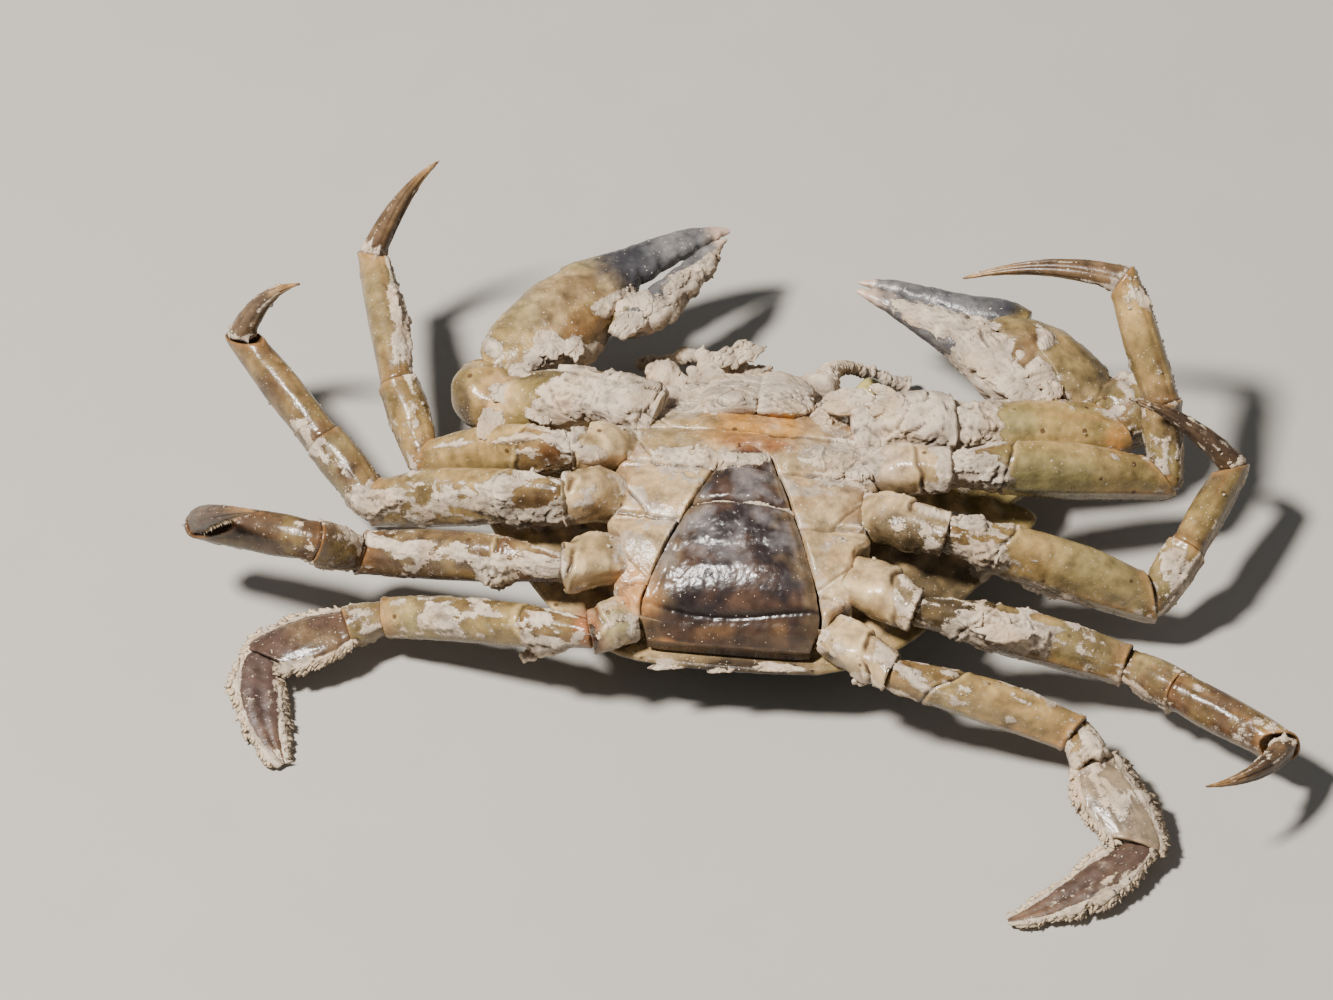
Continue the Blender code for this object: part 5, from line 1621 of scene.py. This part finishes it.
def from_picture(u, v, height):
    """The world point that shows at (u, v) and lies that high: the picture's formula turned round."""
    x = (u - ORIGIN_PIXEL[0]) / PIXELS_PER_MM
    rise = (ORIGIN_PIXEL[1] - v) / PIXELS_PER_MM
    return np.array([x, (rise - height * VIEW_COSINE) / VIEW_SINE, height])


def height_of_skin(u, v):
    """Height of the skin point that lies nearest the camera within NEAR_SPOT pixels of (u, v)."""
    nearest, height = -np.inf, 0.0
    for grid, _, _ in SKIN.values():
        at_u, at_v = picture(grid)
        depth = grid[..., 2] * VIEW_SINE - grid[..., 1] * VIEW_COSINE
        depth = np.where(np.hypot(at_u - u, at_v - v) < NEAR_SPOT, depth, -np.inf)
        if depth.max() > nearest:
            nearest, height = depth.max(), grid[..., 2].ravel()[depth.argmax()]
    return height


def ball_grid(rows, sides):
    """Directions over a whole ball: rows from pole to pole, sides round it."""
    down = np.linspace(0.08, np.pi - 0.08, rows)[:, None]
    round_it = ring_angles(sides)[None, :]
    return together(np.sin(down) * np.cos(round_it), np.sin(down) * np.sin(round_it), np.cos(down))


def turned_by(points, axis, degrees):
    """Points turned about one axis through the origin."""
    first, second = [(1, 2), (2, 0), (0, 1)][axis]
    angle = np.radians(degrees)
    a, b = points[..., first].copy(), points[..., second].copy()
    points[..., first] = a * np.cos(angle) - b * np.sin(angle)
    points[..., second] = a * np.sin(angle) + b * np.cos(angle)
    return points


def flake(u, v, height, across, back, thick, turn, tilt):
    """A slab: superellipsoid with a ragged outline, radius (1 + noise of the bearing), in stepped layers."""
    ball = ball_grid(FLAKE_ROWS, FLAKE_SIDES)
    place = from_picture(u, v, height_of_skin(u, v) if height is None else height)
    plan = unit(ball[..., :2])
    out = np.linalg.norm(ball[..., :2], axis=-1) ** 0.55
    bearing = np.concatenate([plan * 1.3, 0 * plan[..., :1]], axis=-1) + place
    outline = 1 + RAGGED * rough(bearing, 0.9, 4, 201)
    upright = np.sign(ball[..., 2]) * np.abs(ball[..., 2]) ** 0.6
    flat = plan * (out * outline)[..., None] * (across, back)
    shape = np.concatenate([flat, (upright * thick)[..., None]], axis=-1)
    spot = shape + place
    nearest, second, level = cells(spot + 0.4 * noise(spot, 0.7, 203)[..., None], 1.0, 207)
    rise = 0.20 * (level - 0.5) + 0.05 * rough(spot, 0.6, 3, 209) - 0.16 * bump(second, nearest, 0.07)
    shape[..., 2] += rise * step(0.0, 0.5, ball[..., 2]) + 0.12 * thick * np.floor(3 * noise(spot, 1.4, 211))
    return closed_grid(above_floor(place + turned_by(turned_by(shape, 0, tilt), 2, turn)))


def finish_loose(piece, material):
    """Material and frame calls of a piece that stands for no solid."""
    piece.data.materials.append(material)
    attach(piece, "root")


lumps = make_piece("mud_lumps", [flake(*values) for values in MUD_FLAKES.values()])
finish_loose(lumps, MUD)
print("mud flakes:", len(MUD_FLAKES))

# %% Crumbs
CRUMBS_PER_SKIN = 9
MORE_ON_LARGE = 4
LARGE_ROWS = 180


def crumb(place, size, seed):
    """A lumpy ball, each point at size (1 + half a noise) from the middle, and flattened a little."""
    ball = ball_grid(4, 6)
    wobble = 1 + 0.5 * noise(ball + seed * 7.0, 0.9, 211)
    return closed_grid(above_floor(place + ball * size * wobble[..., None] * (1.2, 1.0, 0.7)))


def scatter(grid, normals, field, count, seed):
    """Picks upward-facing points where there is some mud nearby, by the same hash as the noise."""
    rows, columns = np.nonzero((normals[..., 2] > 0.25) & (field > -0.25))
    if len(rows) == 0:
        return []
    index, same = np.arange(count), np.full(count, seed)
    pick = (lattice(index, same, 0 * index, 221) * (len(rows) - 1)).astype(int)
    sizes = 0.05 + 0.16 * lattice(index, same, 0 * index + 1, 223) ** 3
    return [crumb(grid[rows[i], columns[i]], size, i % 97) for i, size in zip(pick, sizes)]


crumbs = [one for seed, skin in enumerate(SKIN.values())
          for one in scatter(*skin, CRUMBS_PER_SKIN * (MORE_ON_LARGE if len(skin[0]) > LARGE_ROWS else 1),
                             seed)]
finish_loose(make_piece("mud_crumbs", crumbs), MUD)
print("crumbs:", len(crumbs))

# %% [markdown]
# ## Fringes
# A green crab's last legs are paddles, edged with hair that here has dried into ragged, muddy combs. Each
# hair clump is a closed, tapered strip of its own, rooted on the skin's edge and leaning towards the tip.
# Hair curves would be quicker, but a mesh goes anywhere. Each clump's place on the skin goes into a texture
# map, so that a bake finds it.

# %% Hair clumps as meshes
BLADE_STATIONS = np.array([0.0, 0.4, 0.75])
BLADE_TAPER = np.array([1.0, 0.85, 0.5])
BLADE_CORNERS = np.array([[1.0, 0.0], [-1.0, 0.0], [0.0, 0.45]])
BLADE_SAG = 0.12
ROOT_SUNK = 0.12
TUFT_PATCH = 0.003
TUFT_MAP = np.array([(0, 0), (1, 0), (0.5, 0), (0.1, 0.4), (0.9, 0.4), (0.5, 0.4), (0.2, 0.75), (0.8, 0.75),
                     (0.5, 0.75), (0.5, 1)])


def blades(roots, ahead, sideways, lengths, widths):
    """Three-cornered sections at three stations and a point: root + ahead L t + sideways w, a little sag."""
    flat = np.cross(ahead, sideways)
    shape = (sideways[:, None, None] * BLADE_CORNERS[None, None, :, :1]
             + flat[:, None, None] * BLADE_CORNERS[None, None, :, 1:])
    shape = shape * (widths[:, None] * BLADE_TAPER)[..., None, None]
    spine = roots[:, None] + ahead[:, None] * (lengths[:, None] * BLADE_STATIONS)[..., None]
    body = (spine[:, :, None] + shape).reshape(len(roots), -1, 3)
    tip = roots + ahead * lengths[:, None] - (0, 0, BLADE_SAG) * lengths[:, None] ** 2
    points = above_floor(np.concatenate([body, tip[:, None]], axis=1))
    quads = [[3 * s + c, 3 * s + (c + 1) % 3, 3 * s + 3 + (c + 1) % 3, 3 * s + 3 + c]
             for s in (0, 1) for c in range(3)]
    tris = [[2, 1, 0], [6, 7, 9], [7, 8, 9], [8, 6, 9]]
    first = (np.arange(len(roots)) * points.shape[1])[:, None, None]
    faces = [(np.array(group) + first).reshape(-1, len(group[0])) for group in (quads, tris)]
    return points.reshape(-1, 3), faces


def fringe_along(node, column_share, rows_share, count, length, width, lean, layers=2):
    """Clumps along one line of a skin, at a share round it, and where each root lies on its unwrap."""
    grid, normals, _ = SKIN[node]
    rows, sides = grid.shape[:2]
    index = np.arange(count * layers)
    chance = [lattice(index, index * 0 + seed, index * 0, int(column_share * 100) + 231) for seed in range(5)]
    share = rows_share[0] + (rows_share[1] - rows_share[0]) * ((index % count) + chance[0]) / count
    row = np.clip((share * (rows - 1)).astype(int), 1, rows - 2)
    column = (int(column_share * sides) + ((chance[1] - 0.5) * 0.05 * sides).astype(int)) % sides
    out, along = normals[row, column], unit(grid[row + 1, column] - grid[row - 1, column])
    leaning = along * (lean + 0.5 * (chance[2] - 0.5))[:, None]
    ahead = unit(out + leaning + (0, 0, 0.25) * (chance[3] - 0.5)[:, None])
    shorter_at_ends = np.sin(np.pi * np.clip(share * 0.9 + 0.08, 0, 1)) ** 0.4
    lengths = length * (0.55 + 0.7 * chance[4]) * shorter_at_ends
    widths = width * (0.6 + 0.8 * chance[2])
    root_map = np.stack([row / rows, column / sides], axis=-1)
    return blades(grid[row, column] - ahead * ROOT_SUNK, ahead, along, lengths, widths), root_map


def make_fringe(name, lines, material):
    """Joins the lines' clumps in one piece and writes each clump's own small patch of the map."""
    made = [fringe_along(*line) for line in lines]
    piece = make_piece(name, [one[0] for one in made])
    roots = np.concatenate([one[1] for one in made])
    spots = (roots[:, None] + (TUFT_MAP - 0.5) * TUFT_PATCH).reshape(-1, 2)
    mesh = piece.data
    corner = np.empty(len(mesh.loops), int)
    mesh.loops.foreach_get("vertex_index", corner)
    mesh.uv_layers.new(name="OFBake").data.foreach_set("uv", np.clip(spots[corner], 0, 1).ravel())
    finish_loose(piece, material)
    return len(roots)


print("a clump has", len(TUFT_MAP), "points")

# %% Fringes of the last legs and the mud-laden edges of the others
PADDLE_FRINGE = [(f"leg5_{side}_{kind}", edge, (0.06, 0.95), 80, 0.75, 0.36, 0.85, 3)
                 for side in ("left", "right") for kind in ("propodus", "dactyl") for edge in (0.0, 0.5)]
LEG_FRINGE = [
    ("leg4_right_propodus", 0.5, (0.1, 0.95), 70, 0.75, 0.10, 0.6),
    ("leg4_right_dactyl", 0.5, (0.1, 0.9), 50, 0.6, 0.08, 0.6),
    ("leg4_left_dactyl", 0.5, (0.1, 0.9), 40, 0.4, 0.07, 0.8),
    ("leg3_right_propodus", 0.25, (0.1, 0.95), 60, 0.35, 0.12, 0.6),
    ("leg2_left_propodus", 0.25, (0.1, 0.95), 60, 0.35, 0.14, 0.6),
]
print("fringe clumps:", make_fringe("paddle_fringe", PADDLE_FRINGE, FRINGE)
      + make_fringe("leg_fringe", LEG_FRINGE, FRINGE))

# %% [markdown]
# ## Camera, floor and light
# The camera stands far off with a long lens, at the photograph's angle of 48 degrees above the floor, so
# that near and far parts show at one scale. One small round lamp stands for the sun, high on the left and a
# little in front; its size sets how soft the shadows' edges are. A broad, weak lamp from the right and a
# pale world fill the shadows. A sun lamp would serve too, but an area lamp's glint shows on glossy shell.

# %% Camera
CAMERA_DISTANCE = 1.4
SENSOR = 36.0
AIM_PIXEL = (666.5, 500.0)
AIM_HEIGHT = 8.0

picture_width = PICTURE_SIZE[0] / PIXELS_PER_MM * MM
aim_x = (AIM_PIXEL[0] - ORIGIN_PIXEL[0]) / PIXELS_PER_MM
aim_rise = (ORIGIN_PIXEL[1] - AIM_PIXEL[1]) / PIXELS_PER_MM
aim_y = (aim_rise - AIM_HEIGHT * VIEW_COSINE) / VIEW_SINE
aim = (np.array([aim_x, aim_y, AIM_HEIGHT]) - FOOTPRINT_CENTRE) * MM
camera = bpy.data.objects.new("camera", bpy.data.cameras.new("camera"))
camera.data.sensor_width = SENSOR
camera.data.lens = SENSOR * CAMERA_DISTANCE / picture_width
camera.data.clip_start = 0.05
camera.location = aim + CAMERA_DISTANCE * np.array([0, -VIEW_COSINE, VIEW_SINE])
camera.rotation_euler = (np.pi / 2 - VIEW_ELEVATION, 0, 0)
bpy.context.scene.collection.objects.link(camera)
bpy.context.scene.camera = camera
print("lens:", round(camera.data.lens), "mm")

# %% Floor
FLOOR_RADIUS = 3.0
FLOOR_TONES = (srgb(180, 176, 168), srgb(186, 182, 175))
floor_mesh = bpy.data.meshes.new("floor")
corners = [(x * FLOOR_RADIUS, y * FLOOR_RADIUS, 0) for x, y in ((-1, -1), (1, -1), (1, 1), (-1, 1))]
floor_mesh.from_pydata(corners, [], [(0, 1, 2, 3)])
floor = bpy.data.objects.new("floor", floor_mesh)
bpy.context.scene.collection.objects.link(floor)
material, tree, place, shader = new_material("pale floor")
soft = noise_node(tree, place, 9.0, 3.0)
tree.links.new(blend_colour(tree, soft, *map(rgba, FLOOR_TONES)), shader.inputs["Base Color"])
shader.inputs["Roughness"].default_value = 0.9
floor_mesh.materials.append(material)
print("floor at height 0")

# %% Lights
SUN_FROM = np.array([-0.414, -0.247, 0.876])
FILL_FROM = np.array([0.62, -0.45, 0.64])
KEY_WATTS = 8.4
FILL_WATTS = 0.15
WORLD_COLOUR = (0.93, 0.96, 1.0, 1.0)
WORLD_STRENGTH = 0.14


def add_light(name, direction, distance, size, watts, colour):
    """A round area lamp that looks at the crab."""
    lamp = bpy.data.lights.new(name, "AREA")
    lamp.shape = "DISK"
    lamp.size = size
    lamp.energy = watts
    lamp.color = colour
    holder = bpy.data.objects.new(name, lamp)
    holder.location = aim + unit(direction) * distance
    holder.rotation_euler = Vector(direction).to_track_quat("Z", "Y").to_euler()
    bpy.context.scene.collection.objects.link(holder)


add_light("key", SUN_FROM, 0.6, 0.09, KEY_WATTS, (1.0, 0.96, 0.91))
add_light("fill", FILL_FROM, 0.7, 0.5, FILL_WATTS, (0.94, 0.97, 1.0))
world = bpy.data.worlds.new("pale room")
bpy.context.scene.world = world
world.use_nodes = True
background = world.node_tree.nodes["Background"]
background.inputs["Color"].default_value = WORLD_COLOUR
background.inputs["Strength"].default_value = WORLD_STRENGTH
print("lamps:", len(bpy.data.lights))
